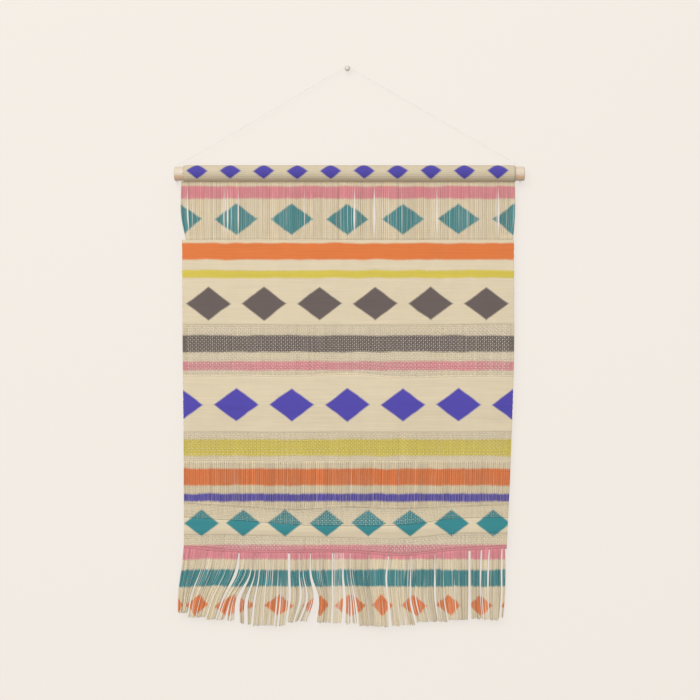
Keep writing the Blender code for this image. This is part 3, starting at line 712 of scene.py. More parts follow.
def make_mottle_group():
    """Slow and fine unevenness of dye, paint or handling, and a fine fuzz."""
    group, wires, given, out = new_group(
        "soft_mottle",
        [("Place", VECTOR), ("Patch Scale", VALUE), ("Fuzz Scale", VALUE), ("Depth", VALUE)],
        [("Tone", VALUE), ("Fuzz", VALUE)],
    )
    patch = wires.noise(given["Place"], given["Patch Scale"], 3.0)
    fuzz = wires.noise(given["Place"], given["Fuzz Scale"], 2.0)
    both = wires.math("ADD", wires.math("MULTIPLY", patch, 0.6), wires.math("MULTIPLY", fuzz, 0.4))
    both = wires.math("MULTIPLY", wires.math("SUBTRACT", both, 0.5), given["Depth"])
    wires.feed(wires.math("ADD", both, 1.0), out["Tone"])
    wires.feed(fuzz, out["Fuzz"])
    return group


def new_material(name, roughness, **values):
    """A material with a Principled BSDF and its wires."""
    made = bpy.data.materials.new(name)
    made.use_nodes = True
    shader = made.node_tree.nodes["Principled BSDF"]
    shader.inputs["Roughness"].default_value = roughness
    for socket, value in values.items():
        shader.inputs[socket.replace("_", " ")].default_value = value
    return made, Wires(made.node_tree), shader.inputs


def place_group(wires, group, inputs):
    node = wires.add("ShaderNodeGroup", node_tree=group)
    for name, value in inputs.items():
        wires.feed(value, node.inputs[name])
    return node.outputs


def read_attribute(wires, name, output):
    return wires.add("ShaderNodeAttribute", attribute_name=name).outputs[output]


def object_place(wires):
    return wires.add("ShaderNodeTexCoord").outputs["Object"]


def add_mottle(wires, groups, place, name):
    """The tone and fuzz of one of the mottles, read at a place."""
    patch_scale, fuzz_scale, depth = MOTTLES[name]
    inputs = {"Place": place, "Patch Scale": patch_scale, "Fuzz Scale": fuzz_scale, "Depth": depth}
    return place_group(wires, groups["mottle"], inputs)


def feed_roughness(wires, shader, fuzz, ends):
    wires.feed(wires.soft_step(fuzz, FUZZ_FROM, FUZZ_TO, *ends), shader["Roughness"])


def feed_print(wires, groups, shader, flat, tone):
    """The print over the cloth's ground, as the colour, darkened or lightened by a tone that carries
    painted shade and highlight as well as uneven dye.
    """
    printed = place_group(wires, groups["print"], {"Place": flat, "Bleed": PRINT_WANDER})
    cover = read_attribute(wires, "print_side", "Fac")
    colour = wires.blend(cover, GROUND, printed["Color"])
    wires.feed(wires.shade(colour, tone), shader["Base Color"])


def make_cloth_material(groups, name, weft_pitch, painted_groove_shade, relief, painted_overall_shade):
    made, wires, shader = new_material(name, 0.88, Sheen_Weight=0.12, Sheen_Roughness=0.5)
    flat = read_attribute(wires, "print_place", "Vector")
    pitches = {"Warp Pitch": WARP_WEAVE_PITCH, "Weft Pitch": weft_pitch}
    weave = place_group(
        wires, groups["weave"], {"Place": flat, "Painted Groove Shade": painted_groove_shade, **pitches}
    )
    mottle = add_mottle(wires, groups, flat, "cloth")
    tone = wires.math("MULTIPLY", weave["Tone"], mottle["Tone"])
    # painted shade over the whole cloth: the ribbed sleeve's material darkens its colour to 0.90
    feed_print(wires, groups, shader, flat, wires.math("MULTIPLY", tone, painted_overall_shade))
    feed_roughness(wires, shader, mottle["Fuzz"], CLOTH_ROUGHNESS)
    height = wires.math("MULTIPLY_ADD", mottle["Fuzz"], 0.3, weave["Height"])
    wires.feed(wires.bump(height, relief, 0.8), shader["Normal"])
    return made


def make_yarn_material(groups):
    made, wires, shader = new_material("printed_yarn", 0.8, Sheen_Weight=0.15, Sheen_Roughness=0.45)
    flat = read_attribute(wires, "print_place", "Vector")
    way = read_attribute(wires, "yarn_way", "Vector")
    ply = place_group(wires, groups["ply"], {"Way": way, "Ply Turn": PLY_TURN})
    mottle = add_mottle(wires, groups, object_place(wires), "yarn")
    # the yarn's tone holds painted shade on recessed ends and painted highlights and shadow lines on
    # the weft cords
    tone = wires.math("MULTIPLY", read_attribute(wires, "yarn_tone", "Fac"), ply["Tone"])
    tone = wires.math("MULTIPLY", tone, mottle["Tone"])
    feed_print(wires, groups, shader, flat, tone)
    feed_roughness(wires, shader, mottle["Fuzz"], YARN_ROUGHNESS)
    height = wires.math("MULTIPLY_ADD", mottle["Fuzz"], 0.35, ply["Height"])
    wires.feed(wires.bump(height, 0.3 * MM, 0.8), shader["Normal"])
    return made


def make_string_material(groups):
    made, wires, shader = new_material("pale_twine", 0.7, Sheen_Weight=0.2, Subsurface_Weight=0.1)
    shader["Subsurface Radius"].default_value = (1.0 * MM, 0.8 * MM, 0.7 * MM)
    mottle = add_mottle(wires, groups, object_place(wires), "twine")
    wires.feed(wires.shade(TWINE[:3], mottle["Tone"]), shader["Base Color"])
    wires.feed(wires.bump(mottle["Fuzz"], 0.1 * MM, 0.6), shader["Normal"])
    return made


def make_wood_material(groups):
    """Pale wood with growth rings about an axis beside the rod, so its ends show end grain, and
    painted shade as a redder band along the rod's lower side.
    """
    made, wires, shader = new_material("sanded_wood", 0.55)
    place = object_place(wires)
    bent = wires.noise(wires.stretch(place, WOOD_BENDS), 1.0, 2.0)
    _, out, up = wires.split(place)
    out = wires.math("POWER", wires.math("ADD", out, HEART_FORWARD * DOWEL_RADIUS), 2.0)
    up = wires.math("SUBTRACT", up, DOWEL_Z - HEART_BELOW * DOWEL_RADIUS)
    from_heart = wires.math("SQRT", wires.math("ADD", out, wires.math("POWER", up, 2.0)))
    from_heart = wires.math("MULTIPLY_ADD", bent, RING_BEND, from_heart)
    ring = wires.math("FRACT", wires.math("DIVIDE", from_heart, RING_PITCH))
    late = wires.math("MULTIPLY", wires.soft_step(ring, 0.25, 0.95), 0.6)
    pores = wires.noise(wires.stretch(place, WOOD_PORES), 1.0, 2.0)
    late = wires.math("MULTIPLY_ADD", wires.soft_step(pores, 0.45, 0.75), 0.35, late)
    mottle = add_mottle(wires, groups, place, "wood")
    colour = wires.blend(late, WOOD_LIGHT, WOOD_DARK)
    # painted shade: a redder, darker band along the rod's lower side
    streak = wires.math("ADD", wires.split(place)[2], LOWER_SHADE_BELOW - DOWEL_Z)
    streak = wires.math("ABSOLUTE", wires.math("MULTIPLY_ADD", bent, -2.0 * MM, streak))
    streak = wires.soft_step(streak, 0.4 * MM, LOWER_SHADE_HALF, LOWER_SHADE_SHARE, 0.0)
    colour = wires.shade(wires.blend(streak, colour, WOOD_LOWER_SHADE), mottle["Tone"])
    wires.feed(colour, shader["Base Color"])
    wires.feed(wires.soft_step(pores, 0.3, 0.8, *WOOD_ROUGHNESS), shader["Roughness"])
    wires.feed(wires.bump(late, 0.1 * MM, 0.4), shader["Normal"])
    return made


def make_pin_material(groups):
    made, wires, shader = new_material("satin_paint", 0.38, Coat_Weight=0.2, Coat_Roughness=0.25)
    place = object_place(wires)
    mottle = add_mottle(wires, groups, place, "pin")
    across, _, up = wires.split(place)
    squares = wires.math("MULTIPLY_ADD", across, across, wires.math("MULTIPLY", up, up))
    out = wires.math("DIVIDE", wires.math("SQRT", squares), PIN_HEAD_RADIUS)
    # painted shade towards the head's rim; the lighter middle is a painted highlight
    rim = wires.soft_step(out, PIN_SHADE_FROM, PIN_SHADE_TO, 1.0, PIN_RIM_PAINTED_SHADE)
    tone = wires.math("MULTIPLY", mottle["Tone"], rim)
    wires.feed(wires.shade(PIN_PAINT[:3], tone), shader["Base Color"])
    feed_roughness(wires, shader, mottle["Fuzz"], PIN_ROUGHNESS)
    wires.feed(wires.bump(mottle["Fuzz"], 0.04 * MM, 0.5), shader["Normal"])
    return made


def emptied(owner):
    """Wires for a material or a world whose first nodes are taken out."""
    owner.use_nodes = True
    for node in list(owner.node_tree.nodes):
        owner.node_tree.nodes.remove(node)
    return Wires(owner.node_tree)


def make_wall_material():
    """A lit pale wall that a viewer behind it looks through."""
    made = bpy.data.materials.new("pale_wall")
    wires = emptied(made)
    seen = wires.add("ShaderNodeLightPath").outputs["Is Camera Ray"]
    strength = wires.math("MULTIPLY_ADD", seen, 1.0 - WALL_BOUNCE, WALL_BOUNCE)
    glow = wires.add("ShaderNodeEmission", {"Color": WALL_COLOUR, "Strength": strength})
    matt = wires.add("ShaderNodeBsdfDiffuse", {"Color": WALL_COLOUR})
    clear = wires.add("ShaderNodeBsdfTransparent")
    shares = {0: WALL_SHADE_SHARE, 1: glow.outputs[0], 2: matt.outputs[0]}
    front = wires.add("ShaderNodeMixShader", shares)
    behind = wires.add("ShaderNodeNewGeometry").outputs["Backfacing"]
    both = wires.add("ShaderNodeMixShader", {0: behind, 1: front.outputs[0], 2: clear.outputs[0]})
    wires.add("ShaderNodeOutputMaterial", {"Surface": both.outputs[0]})
    return made


def make_floor_material():
    """A pale floor that throws little light up."""
    made = bpy.data.materials.new("pale_floor")
    wires = emptied(made)
    pale = wires.add("ShaderNodeBsdfDiffuse", {"Color": FLOOR_COLOUR})
    dim = wires.add("ShaderNodeBsdfDiffuse", {"Color": FLOOR_BOUNCE})
    seen = wires.add("ShaderNodeLightPath").outputs["Is Camera Ray"]
    both = wires.add("ShaderNodeMixShader", {0: seen, 1: dim.outputs[0], 2: pale.outputs[0]})
    wires.add("ShaderNodeOutputMaterial", {"Surface": both.outputs[0]})
    return made


def make_sky():
    """Soft light from all round, stronger from above, before a pale backdrop."""
    world = bpy.data.worlds.new("pale_room")
    wires = emptied(world)
    height = wires.split(wires.add("ShaderNodeTexCoord").outputs["Generated"])[2]
    inputs = {"Value": height, "From Min": -1.0, "To Min": FILL_BELOW, "To Max": FILL_ABOVE}
    strength = wires.add("ShaderNodeMapRange", inputs).outputs["Result"]
    light = wires.add("ShaderNodeBackground", {"Strength": strength})
    light.inputs["Color"].default_value = (1.0, 1.0, 1.0, 1.0)
    backdrop = wires.add("ShaderNodeBackground", {"Color": WALL_COLOUR})
    seen = wires.add("ShaderNodeLightPath").outputs["Is Camera Ray"]
    both = wires.add("ShaderNodeMixShader", {0: seen, 1: light.outputs[0], 2: backdrop.outputs[0]})
    wires.add("ShaderNodeOutputWorld", {"Surface": both.outputs[0]})
    bpy.context.scene.world = world


def add_object(name, data):
    """A new object in the scene."""
    made = bpy.data.objects.new(name, data)
    bpy.context.scene.collection.objects.link(made)
    return made


def new_piece(name, points, face_sets, material, nodes, attributes=None):
    """A mesh piece on the body, in place of the solids it stands for."""
    faces = [face for faces in face_sets for face in np.asarray(faces).tolist()]
    mesh = bpy.data.meshes.new(name)
    mesh.from_pydata(np.asarray(points).tolist(), [], faces)
    for label, values in (attributes or {}).items():
        kind = "FLOAT" if values.ndim == 1 else "FLOAT_VECTOR"
        column = "value" if values.ndim == 1 else "vector"
        layer = mesh.attributes.new(label, kind, "POINT")
        layer.data.foreach_set(column, values.astype(np.float32).ravel())
    mesh.materials.append(material)
    mesh.shade_smooth()
    piece = add_object(name, mesh)
    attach(piece, "root")
    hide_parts(*nodes)
    return piece


def tube_points(lines, half_width, half_depth, sides):
    """Rings of points round rows of centres: (tubes, steps, sides, 3), and each ring's turns."""
    heading = np.gradient(lines, axis=1)
    heading /= np.linalg.norm(heading, axis=2, keepdims=True)
    across = np.cross(heading, -FRONT)
    across /= np.linalg.norm(across, axis=2, keepdims=True)
    forward = np.cross(heading, across)
    turns = math.tau * np.arange(sides) / sides
    width = np.broadcast_to(half_width, lines.shape[:2])[..., None, None]
    depth = np.broadcast_to(half_depth, lines.shape[:2])[..., None, None]
    ring = np.cos(turns)[:, None] * across[:, :, None, :] * width
    ring = ring + np.sin(turns)[:, None] * forward[:, :, None, :] * depth
    return lines[:, :, None, :] + ring, turns


def tube_faces(tubes, steps, sides):
    """Side faces and end caps of closed tubes whose points run tube, step, side."""
    number = np.arange(tubes * steps * sides).reshape(tubes, steps, sides)
    beside = np.roll(number, -1, axis=2)
    quads = np.stack(
        [number[:, :-1], beside[:, :-1], beside[:, 1:], number[:, 1:]], axis=-1
    ).reshape(-1, 4)
    heads = number[:, 0, ::-1]
    feet = number[:, -1]
    return [quads, heads, feet]


def yarn_attributes(lines, places, tones, turns):
    """Where the print is read, its share, the yarn's turn and way along, and its tone, painted shade
    and highlight included.
    """
    sides = len(turns)
    steps = np.linalg.norm(np.diff(lines, axis=1), axis=2)
    along = np.concatenate([np.zeros((len(lines), 1)), np.cumsum(steps, axis=1)], axis=1)
    way = np.zeros((*lines.shape[:2], sides, 3))
    way[..., 0] = np.cos(turns)
    way[..., 1] = np.sin(turns)
    way[..., 2] = along[..., None]
    flat = np.repeat(places[:, :, None, :], sides, axis=2)
    tone = np.repeat(tones[:, None], lines.shape[1] * sides, axis=1)
    drift = YARN_DRIFT * np.cos(DRIFT_CHANGE * np.arange(len(lines)) ** 2)
    drift = drift[:, None] * (0.5 + along / (along[:, -1:] + MM))
    facing = np.sin(turns[None, None, :] + drift[:, :, None])
    ink = np.clip((facing - INK_FROM) / (INK_TO - INK_FROM), 0.0, 1.0)
    return {
        "print_place": flat.reshape(-1, 3),
        "print_side": (BACK_INK + (1.0 - BACK_INK) * ink).ravel(),
        "yarn_way": way.reshape(-1, 3),
        "yarn_tone": tone.ravel(),
    }


def yarn_piece(name, batches, material, nodes):
    """One piece from batches of yarns: lines, half widths, half depths, places, tones, sides."""
    points = []
    face_sets = []
    layers = {}
    first = 0
    for lines, half_width, half_depth, places, tones, sides in batches:
        rings, turns = tube_points(lines, half_width, half_depth, sides)
        points.append(rings.reshape(-1, 3))
        face_sets += [faces + first for faces in tube_faces(*rings.shape[:3])]
        for label, values in yarn_attributes(lines, places, tones, turns).items():
            layers.setdefault(label, []).append(values)
        first += rings.shape[0] * rings.shape[1] * rings.shape[2]
    attributes = {label: np.concatenate(values) for label, values in layers.items()}
    return new_piece(name, np.concatenate(points), face_sets, material, nodes, attributes)


def stack(*columns):
    return np.stack(np.broadcast_arrays(*columns), axis=-1)


def make_camera():
    lens = bpy.data.cameras.new("camera")
    lens.lens = LENS
    lens.sensor_width = SENSOR
    camera = add_object("camera", lens)
    camera.location = (CAMERA_X, DOWEL_Y - VIEW_WIDTH * LENS / SENSOR, CAMERA_Z)
    camera.rotation_euler = (math.radians(90), 0.0, 0.0)
    bpy.context.scene.camera = camera


def make_light(name, place, aim, size, power):
    light = bpy.data.lights.new(name, "AREA")
    light.shape = "SQUARE"
    light.size = size
    light.energy = power
    lamp = add_object(name, light)
    lamp.location = place
    lamp.rotation_euler = (Vector(aim) - Vector(place)).to_track_quat("-Z", "Y").to_euler()


def make_stage():
    """The wall, the floor and the soft light."""
    half = WALL_WIDTH / 2
    top = WALL_HEIGHT - FLOOR_DROP
    wall = bpy.data.meshes.new("wall")
    corners = [(-half, -FLOOR_DROP), (half, -FLOOR_DROP), (half, top), (-half, top)]
    wall.from_pydata([(x, WALL_GAP, z) for x, z in corners], [], [(0, 1, 2, 3)])
    wall.materials.append(make_wall_material())
    floor = bpy.data.meshes.new("floor")
    half = FLOOR_WIDTH / 2
    corners = [(-half, -half), (half, -half), (half, half), (-half, half)]
    floor.from_pydata([(x, y, -FLOOR_DROP) for x, y in corners], [], [(0, 1, 2, 3)])
    floor.materials.append(make_floor_material())
    for mesh in (wall, floor):
        item = add_object("stage_" + mesh.name, mesh)
    make_light("key_light", KEY_PLACE, KEY_AIM, KEY_SIZE, KEY_POWER)
    make_sky()
    bpy.context.scene.view_settings.view_transform = "Standard"


def run_along(points):
    """How far along a line each of its points is."""
    steps = np.linalg.norm(np.diff(points, axis=0), axis=1)
    return np.concatenate([[0.0], np.cumsum(steps)])


def close_points(route, step):
    """Points a step apart on a smooth curve through a route."""
    along = run_along(route)
    places = np.linspace(0.0, along[-1], round(along[-1] / step))
    return np.stack([smooth_through(along, route[:, axis], places) for axis in range(3)], axis=1)


def twisted_tube(path):
    """A two-ply string round a path: each ring has two lobes, turned a little from the last."""
    lines = path[None]
    rings, turns = tube_points(lines, STRING_DIAMETER / 2, STRING_DIAMETER / 2, STRING_SIDES)
    phase = turns[None, :] - math.tau * run_along(path)[:, None] / (2 * STRING_PLY_TURN)
    share = 1.0 - PLY_WAIST * (0.5 - 0.5 * np.cos(2 * phase))
    centres = path[:, None, :]
    points = centres + (rings[0] - centres) * share[..., None]
    return points.reshape(-1, 3), tube_faces(1, len(path), STRING_SIDES)


def knot_path(x, swing):
    """An overhand knot under the dowel, from the hole down to the cut tail."""
    top = DOWEL_Z - DOWEL_RADIUS
    turn = np.linspace(KNOT_GAP, math.tau - KNOT_GAP, KNOT_STEPS) + math.pi / 2
    across = np.sin(turn) + 2 * np.sin(2 * turn)
    up = np.cos(turn) - 2 * np.cos(2 * turn)
    loops = KNOT_SIZE * np.stack([across, KNOT_FLATNESS * np.sin(3 * turn), up], axis=1)
    loops += (x, DOWEL_Y, top - KNOT_DROP)
    if loops[0, 2] < loops[-1, 2]:
        loops = loops[::-1]
    entry = [(x, DOWEL_Y, top + rise * MM) for rise in KNOT_ENTRY]
    tail = [
        (x + swing * drop / TAIL_DROPS[-1], DOWEL_Y, top - drop * MM) for drop in TAIL_DROPS
    ]
    return close_points(np.array([*entry, *loops.tolist(), *tail]), KNOT_STEP)


def make_string(material):
    path = close_points(np.array(STRING_ROUTE) * MM, STRING_STEP)
    points, faces = twisted_tube(path)
    string = new_piece("hanging_twine", points, faces, material, ["hanging_string"])
    for side, end in (("left", path[0]), ("right", path[-1])):
        points, faces = twisted_tube(knot_path(end[0], TAIL_SWINGS[side]))
        node = "string_knot_" + side
        new_piece("tied_knot_" + side, points, faces, material, [node])


def make_pin(material):
    low, high = (Vector(corner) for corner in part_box("wall_pin"))
    head = (high.z - low.z) / 2
    middle_x = (high.x + low.x) / 2
    middle_z = (high.z + low.z) / 2
    neck = PIN_SHANK_SHARE * head
    rings = [(0.0, neck), (PIN_HEAD_OUT - PIN_NECK_RUN, neck)]
    rings += [(PIN_HEAD_OUT, neck + PIN_NECK_FLARE)]
    rings += [(PIN_HEAD_OUT + up * MM, head * share) for up, share in PIN_SHAPE]
    turns = math.tau * np.arange(PIN_TURNS) / PIN_TURNS
    points = [
        (middle_x + radius * math.cos(a), -out, middle_z + radius * math.sin(a))
        for out, radius in rings
        for a in turns
    ]
    faces = tube_faces(1, len(rings), PIN_TURNS)
    new_piece("turned_pin", points, faces, material, ["wall_pin"])


def upright_rod(radius, depth, turns):
    """A plain closed rod, upright about the origin."""
    bm = bmesh.new()
    bmesh.ops.create_cone(
        bm, cap_ends=True, segments=turns, radius1=radius, radius2=radius, depth=depth
    )
    return bm


def object_from(bm, name):
    mesh = bpy.data.meshes.new(name)
    bm.to_mesh(mesh)
    bm.free()
    return add_object(name, mesh)


def make_dowel(material):
    """A turned rod with rounded ends, drilled for the string."""
    bm = upright_rod(DOWEL_RADIUS, dowel_high.x - dowel_low.x, DOWEL_TURNS)
    rims = [e for e in bm.edges if abs(e.verts[0].co.z - e.verts[1].co.z) < MM]
    bmesh.ops.bevel(
        bm, geom=rims, offset=DOWEL_EDGE, segments=DOWEL_EDGE_STEPS, affect="EDGES", profile=0.5
    )
    middle_x = (dowel_high.x + dowel_low.x) / 2
    for point in bm.verts:
        point.co = Vector((point.co.z + middle_x, point.co.y + DOWEL_Y, -point.co.x + DOWEL_Z))
    dowel = object_from(bm, "drilled_dowel")
    dowel.data.materials.append(material)
    cutters = []
    for x in (STRING_ROUTE[0][0] * MM, STRING_ROUTE[-1][0] * MM):
        cutter = object_from(upright_rod(HOLE_RADIUS, 4 * DOWEL_RADIUS, HOLE_TURNS), "drill")
        cutter.location = (x, DOWEL_Y, DOWEL_Z)
        cutters.append(cutter)
        cut = dowel.modifiers.new("hole", "BOOLEAN")
        cut.operation = "DIFFERENCE"
        cut.solver = "EXACT"
        cut.object = cutter
    seen = dowel.evaluated_get(bpy.context.evaluated_depsgraph_get())
    drilled = bpy.data.meshes.new_from_object(seen)
    dowel.modifiers.clear()
    dowel.data = drilled
    drilled.shade_smooth()
    drilled.set_sharp_from_angle(angle=math.radians(SHARP_FROM))
    for cutter in cutters:
        bpy.data.objects.remove(cutter, do_unlink=True)
    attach(dowel, "root")
    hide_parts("dowel")


def sheet_faces(rows, columns):
    """Faces of a closed sheet whose points run layer, row, column, the front layer first."""
    number = np.arange(2 * rows * columns).reshape(2, rows, columns)
    front, back = number
    grids = []
    for grid, order in ((front, 1), (back, -1)):
        corners = [grid[:-1, :-1], grid[1:, :-1], grid[1:, 1:], grid[:-1, 1:]]
        grids.append(np.stack(corners[::order], axis=-1).reshape(-1, 4))
    rims = []
    for a, b in (
        (front[0], back[0]),
        (back[-1], front[-1]),
        (back[:, 0], front[:, 0]),
        (front[:, -1], back[:, -1]),
    ):
        rims.append(np.stack([a[:-1], a[1:], b[1:], b[:-1]], axis=-1))
    return grids + rims


def sheet_piece(name, points, flat, material, node):
    """A closed sheet from points by layer, row and column, with less ink on its back layer."""
    ink = np.ones(points.shape[:3])
    ink[1] = BACK_INK
    flat = np.broadcast_to(flat, points.shape)
    attributes = {"print_place": flat.reshape(-1, 3), "print_side": ink.ravel()}
    faces = sheet_faces(*points.shape[1:3])
    return new_piece(name, points.reshape(-1, 3), faces, material, [node], attributes)


def make_sleeve(material):
    """The cloth's top as a loop round the dowel, its two ends lying together as a tail."""
    middle = DOWEL_RADIUS + SLEEVE_SLACK + SLEEVE_CLOTH / 2
    seam = math.asin(SLEEVE_SEAM / middle)
    tail_foot = DOWEL_RADIUS + SLEEVE_TAIL
    tail = np.linspace(tail_foot, middle * math.cos(seam), SLEEVE_TAIL_POINTS)[:-1]
    turn = np.linspace(seam, math.tau - seam, SLEEVE_ROUND - 2 * len(tail))
    up = np.concatenate([-tail, -middle * np.cos(turn), -tail[::-1]])
    beside = np.full(len(tail), SLEEVE_SEAM)
    out = np.concatenate([-beside, -middle * np.sin(turn), beside])
    along = np.concatenate([[0.0], np.cumsum(np.hypot(np.diff(up), np.diff(out)))])
    length = along[-1]
    heading_up = np.gradient(up, along)
    heading_out = np.gradient(out, along)
    share = np.linspace(0.0, 1.0, SLEEVE_ALONG)
    x = sleeve_low.x + (sleeve_high.x - sleeve_low.x) * share
    width = sleeve_high.x - sleeve_low.x
    height = np.clip(0.5 + 0.5 * up / DOWEL_RADIUS, 0.0, 1.0)[:, None]
    left_end = np.clip(share * width / SLEEVE_LEFT_END, 0.0, 1.0)
    right_end = np.clip((1.0 - share) * width / SLEEVE_RIGHT_END, 0.0, 1.0)
    height = height * np.sqrt(left_end * right_end)[None, :]
    rib = SLEEVE_RIB_HEIGHT * np.abs(np.sin(math.pi * (sleeve_low.z + along) / SLEEVE_RIB))
    proud = rib[:, None] * (SLEEVE_RIB_LEAST + (1.0 - SLEEVE_RIB_LEAST) * height)
    for place, way, half_length, half_round, pucker in SLEEVE_PUCKERS:
        lengthwise = hump((share - place) * width / MM, half_length)
        roundwise = hump((along / length - way) * length / MM, half_round)
        proud += pucker * MM * roundwise[:, None] * lengthwise[None, :]
    half = (SLEEVE_THIN + (SLEEVE_CLOTH - SLEEVE_THIN) * height) / 2
    drawn_in = (SLEEVE_CLOTH - SLEEVE_THIN) / 2 * (1.0 - height)
    layers = []
    for offset in (half - drawn_in + proud, -half - drawn_in):
        layer_out = out[:, None] - heading_up[:, None] * offset
        layer_up = up[:, None] + heading_out[:, None] * offset
        layers.append(stack(x[None, :], layer_out + DOWEL_Y, layer_up + DOWEL_Z))
    flat = stack(x[None, :], 0.0, (sleeve_low.z + along)[:, None])
    sleeve = sheet_piece("folded_sleeve", np.stack(layers), flat, material, "rod_sleeve")


def band_drop(head, foot, x, share):
    """A drop between two weft lines: 0 at the head line, 1 at the foot line."""
    upper = line_drop(head, x)
    lower = line_drop(foot, x)
    return upper + (lower - upper) * share


def place_in_band(head, foot, across, down, first_drop):
    """X and drop of places given as shares across the cloth and down a band, from a guess."""
    drop = np.full(np.broadcast(across, down).shape, first_drop)
    for _ in range(2):
        left = cloth_side(LEFT, drop)
        x = left + (cloth_side(RIGHT, drop) - left) * across
        drop = band_drop(head, foot, x, down)
    return x, drop


def make_dense_band(name, material):
    """A band of close weave as a closed sheet with rounded, slightly wandering selvedges."""
    head, foot, columns, rows = DENSE_BANDS[name]
    rng = np.random.default_rng(len(name))
    middle_drop = float(band_drop(head, foot, 0.0, 0.5))
    width = float(cloth_side(RIGHT, middle_drop)) - float(cloth_side(LEFT, middle_drop))
    inner = np.linspace(RIM_STEPS[-1][0] * MM, width - RIM_STEPS[-1][0] * MM, columns)
    rim = np.array([step for step, _ in RIM_STEPS[:-1]]) * MM
    across = np.concatenate([rim, inner, width - rim[::-1]]) / width
    shares = [thickness for _, thickness in RIM_STEPS[:-1]]
    thickness = np.array([*shares, *[1.0] * columns, *shares[::-1]]) * DENSE_THICKNESS
    down = np.linspace(0.0, 1.0, rows)[:, None]
    x, drop = place_in_band(head, foot, across[None, :], down, middle_drop)
    wander = SELVEDGE_WANDER * rng.uniform(-1.0, 1.0, (rows, 2))
    x = (
        x
        + wander[:, :1] * hump(across * width / MM, SELVEDGE_REACH)
        + wander[:, 1:] * hump((1 - across) * width / MM, SELVEDGE_REACH)
    )
    depth = cloth_depth(x, drop)
    ends = np.ones((rows, 1))
    ends[0] = ends[-1] = BAND_END
    half = thickness[None, :] * ends / 2
    points = np.stack([stack(x, depth - half, -drop), stack(x, depth + half, -drop)])
    flat = stack(x, 0.0, -drop)
    piece = sheet_piece("dense_cloth_" + name, points, flat, material, "woven_cloth")


def gauze_shares(width):
    """Places across the cloth and widths of the gauze's ends, closer together in the selvedges."""
    edge = SELVEDGE_PITCH * (np.arange(SELVEDGE_YARNS) + 0.5)
    start = edge[-1] + 0.5 * (SELVEDGE_PITCH + GAUZE_END_WIDTH) + SELVEDGE_GAP
    inner = np.linspace(start, width - start, GAUZE_ENDS)
    places = np.concatenate([edge, inner, width - edge[::-1]]) / width
    widths = np.full(len(places), GAUZE_END_WIDTH)
    widths[:SELVEDGE_YARNS] = SELVEDGE_WIDTH
    widths[-SELVEDGE_YARNS:] = SELVEDGE_WIDTH
    return places, widths


def make_gauze(name, material):
    """Open weave: flat warp ends and thick wefts that pass over and under each other."""
    head, foot, tone = GAUZE_BANDS[name]
    rng = np.random.default_rng(SEEDS["gauze"] + len(name))
    first_drop = float(line_drop(head, 0.0))
    height = float(line_drop(foot, 0.0)) - first_drop
    wefts = max(3, round(height / GAUZE_WEFT_PITCH) - 1)
    width = float(cloth_side(RIGHT, GAUZE_WIDTH_AT) - cloth_side(LEFT, GAUZE_WIDTH_AT))
    places, widths = gauze_shares(width)
    ends = len(places)

    tuck = TUCK / height
    steps = np.arange(2 * wefts + 3)
    down = np.clip((steps - 1) / (2 * wefts), -tuck, 1.0 + tuck)
    down[0] = -tuck
    down[-1] = 1.0 + tuck
    stray = GAUZE_END_STRAY / width * rng.normal(size=(ends, 1))
    x, drop = place_in_band(head, foot, places[:, None] + stray, down[None, :], first_drop)
    parity = np.arange(ends)[:, None] + (steps[None, :] - 2) // 2
    on_weft = steps[None, :] % 2 == 0
    inside = (steps[None, :] > 1) & (steps[None, :] < len(steps) - 1)
    turn = np.where(parity % 2 == 0, -1.0, 1.0)
    wave = np.where(on_weft & inside, turn, 0.0) * GAUZE_WAVE
    sway = np.where(widths >= GAUZE_END_WIDTH, GAUZE_SWAY, 0.0)[:, None]
    x = x + np.where(on_weft | ~inside, 0.0, turn) * sway
    warp_lines = stack(x, cloth_depth(x, drop) + wave, -drop)
    warp_places = stack(x, 0.0, -drop)

    rows = np.arange(wefts)
    row_down = (2 * rows + 1) / (2 * wefts)
    across = np.concatenate([[0.0], places, [1.0]])
    row_down = row_down[:, None] + rng.normal(size=(wefts, 1)) * GAUZE_WEFT_STRAY / height
    x, drop = place_in_band(head, foot, across[None, :], row_down, first_drop)
    order = np.arange(len(across))
    on_end = ((order > 0) & (order < len(order) - 1))[None, :]
    parity = order[None, :] - 1 + rows[:, None]
    wave = np.where(on_end, np.where(parity % 2 == 0, 1.0, -1.0), 0.0) * GAUZE_WAVE
    weft_lines = stack(x, cloth_depth(x, drop) + wave, -drop)
    weft_places = stack(x, 0.0, -drop)

    half_depth = GAUZE_YARN_DEPTH / 2
    warp_tones = rng.normal(tone, GAUZE_END_TONE_SPREAD, ends)
    weft_heights = GAUZE_WEFT_HEIGHT / 2 * rng.uniform(*GAUZE_WEFT_HEIGHTS, (wefts, 1))
    weft_tones = rng.normal(tone, GAUZE_WEFT_TONE_SPREAD, wefts)
    batches = [
        (warp_lines, (widths / 2)[:, None], half_depth, warp_places, warp_tones, YARN_SIDES),
        (weft_lines, weft_heights, half_depth, weft_places, weft_tones, YARN_SIDES),
    ]
    return yarn_piece("gauze_" + name, batches, material, ["woven_cloth"])


def every_other(ends, pair):
    """The first of two values for even ends, and the second for odd ones."""
    return np.where(np.arange(ends) % 2 == 0, *pair)


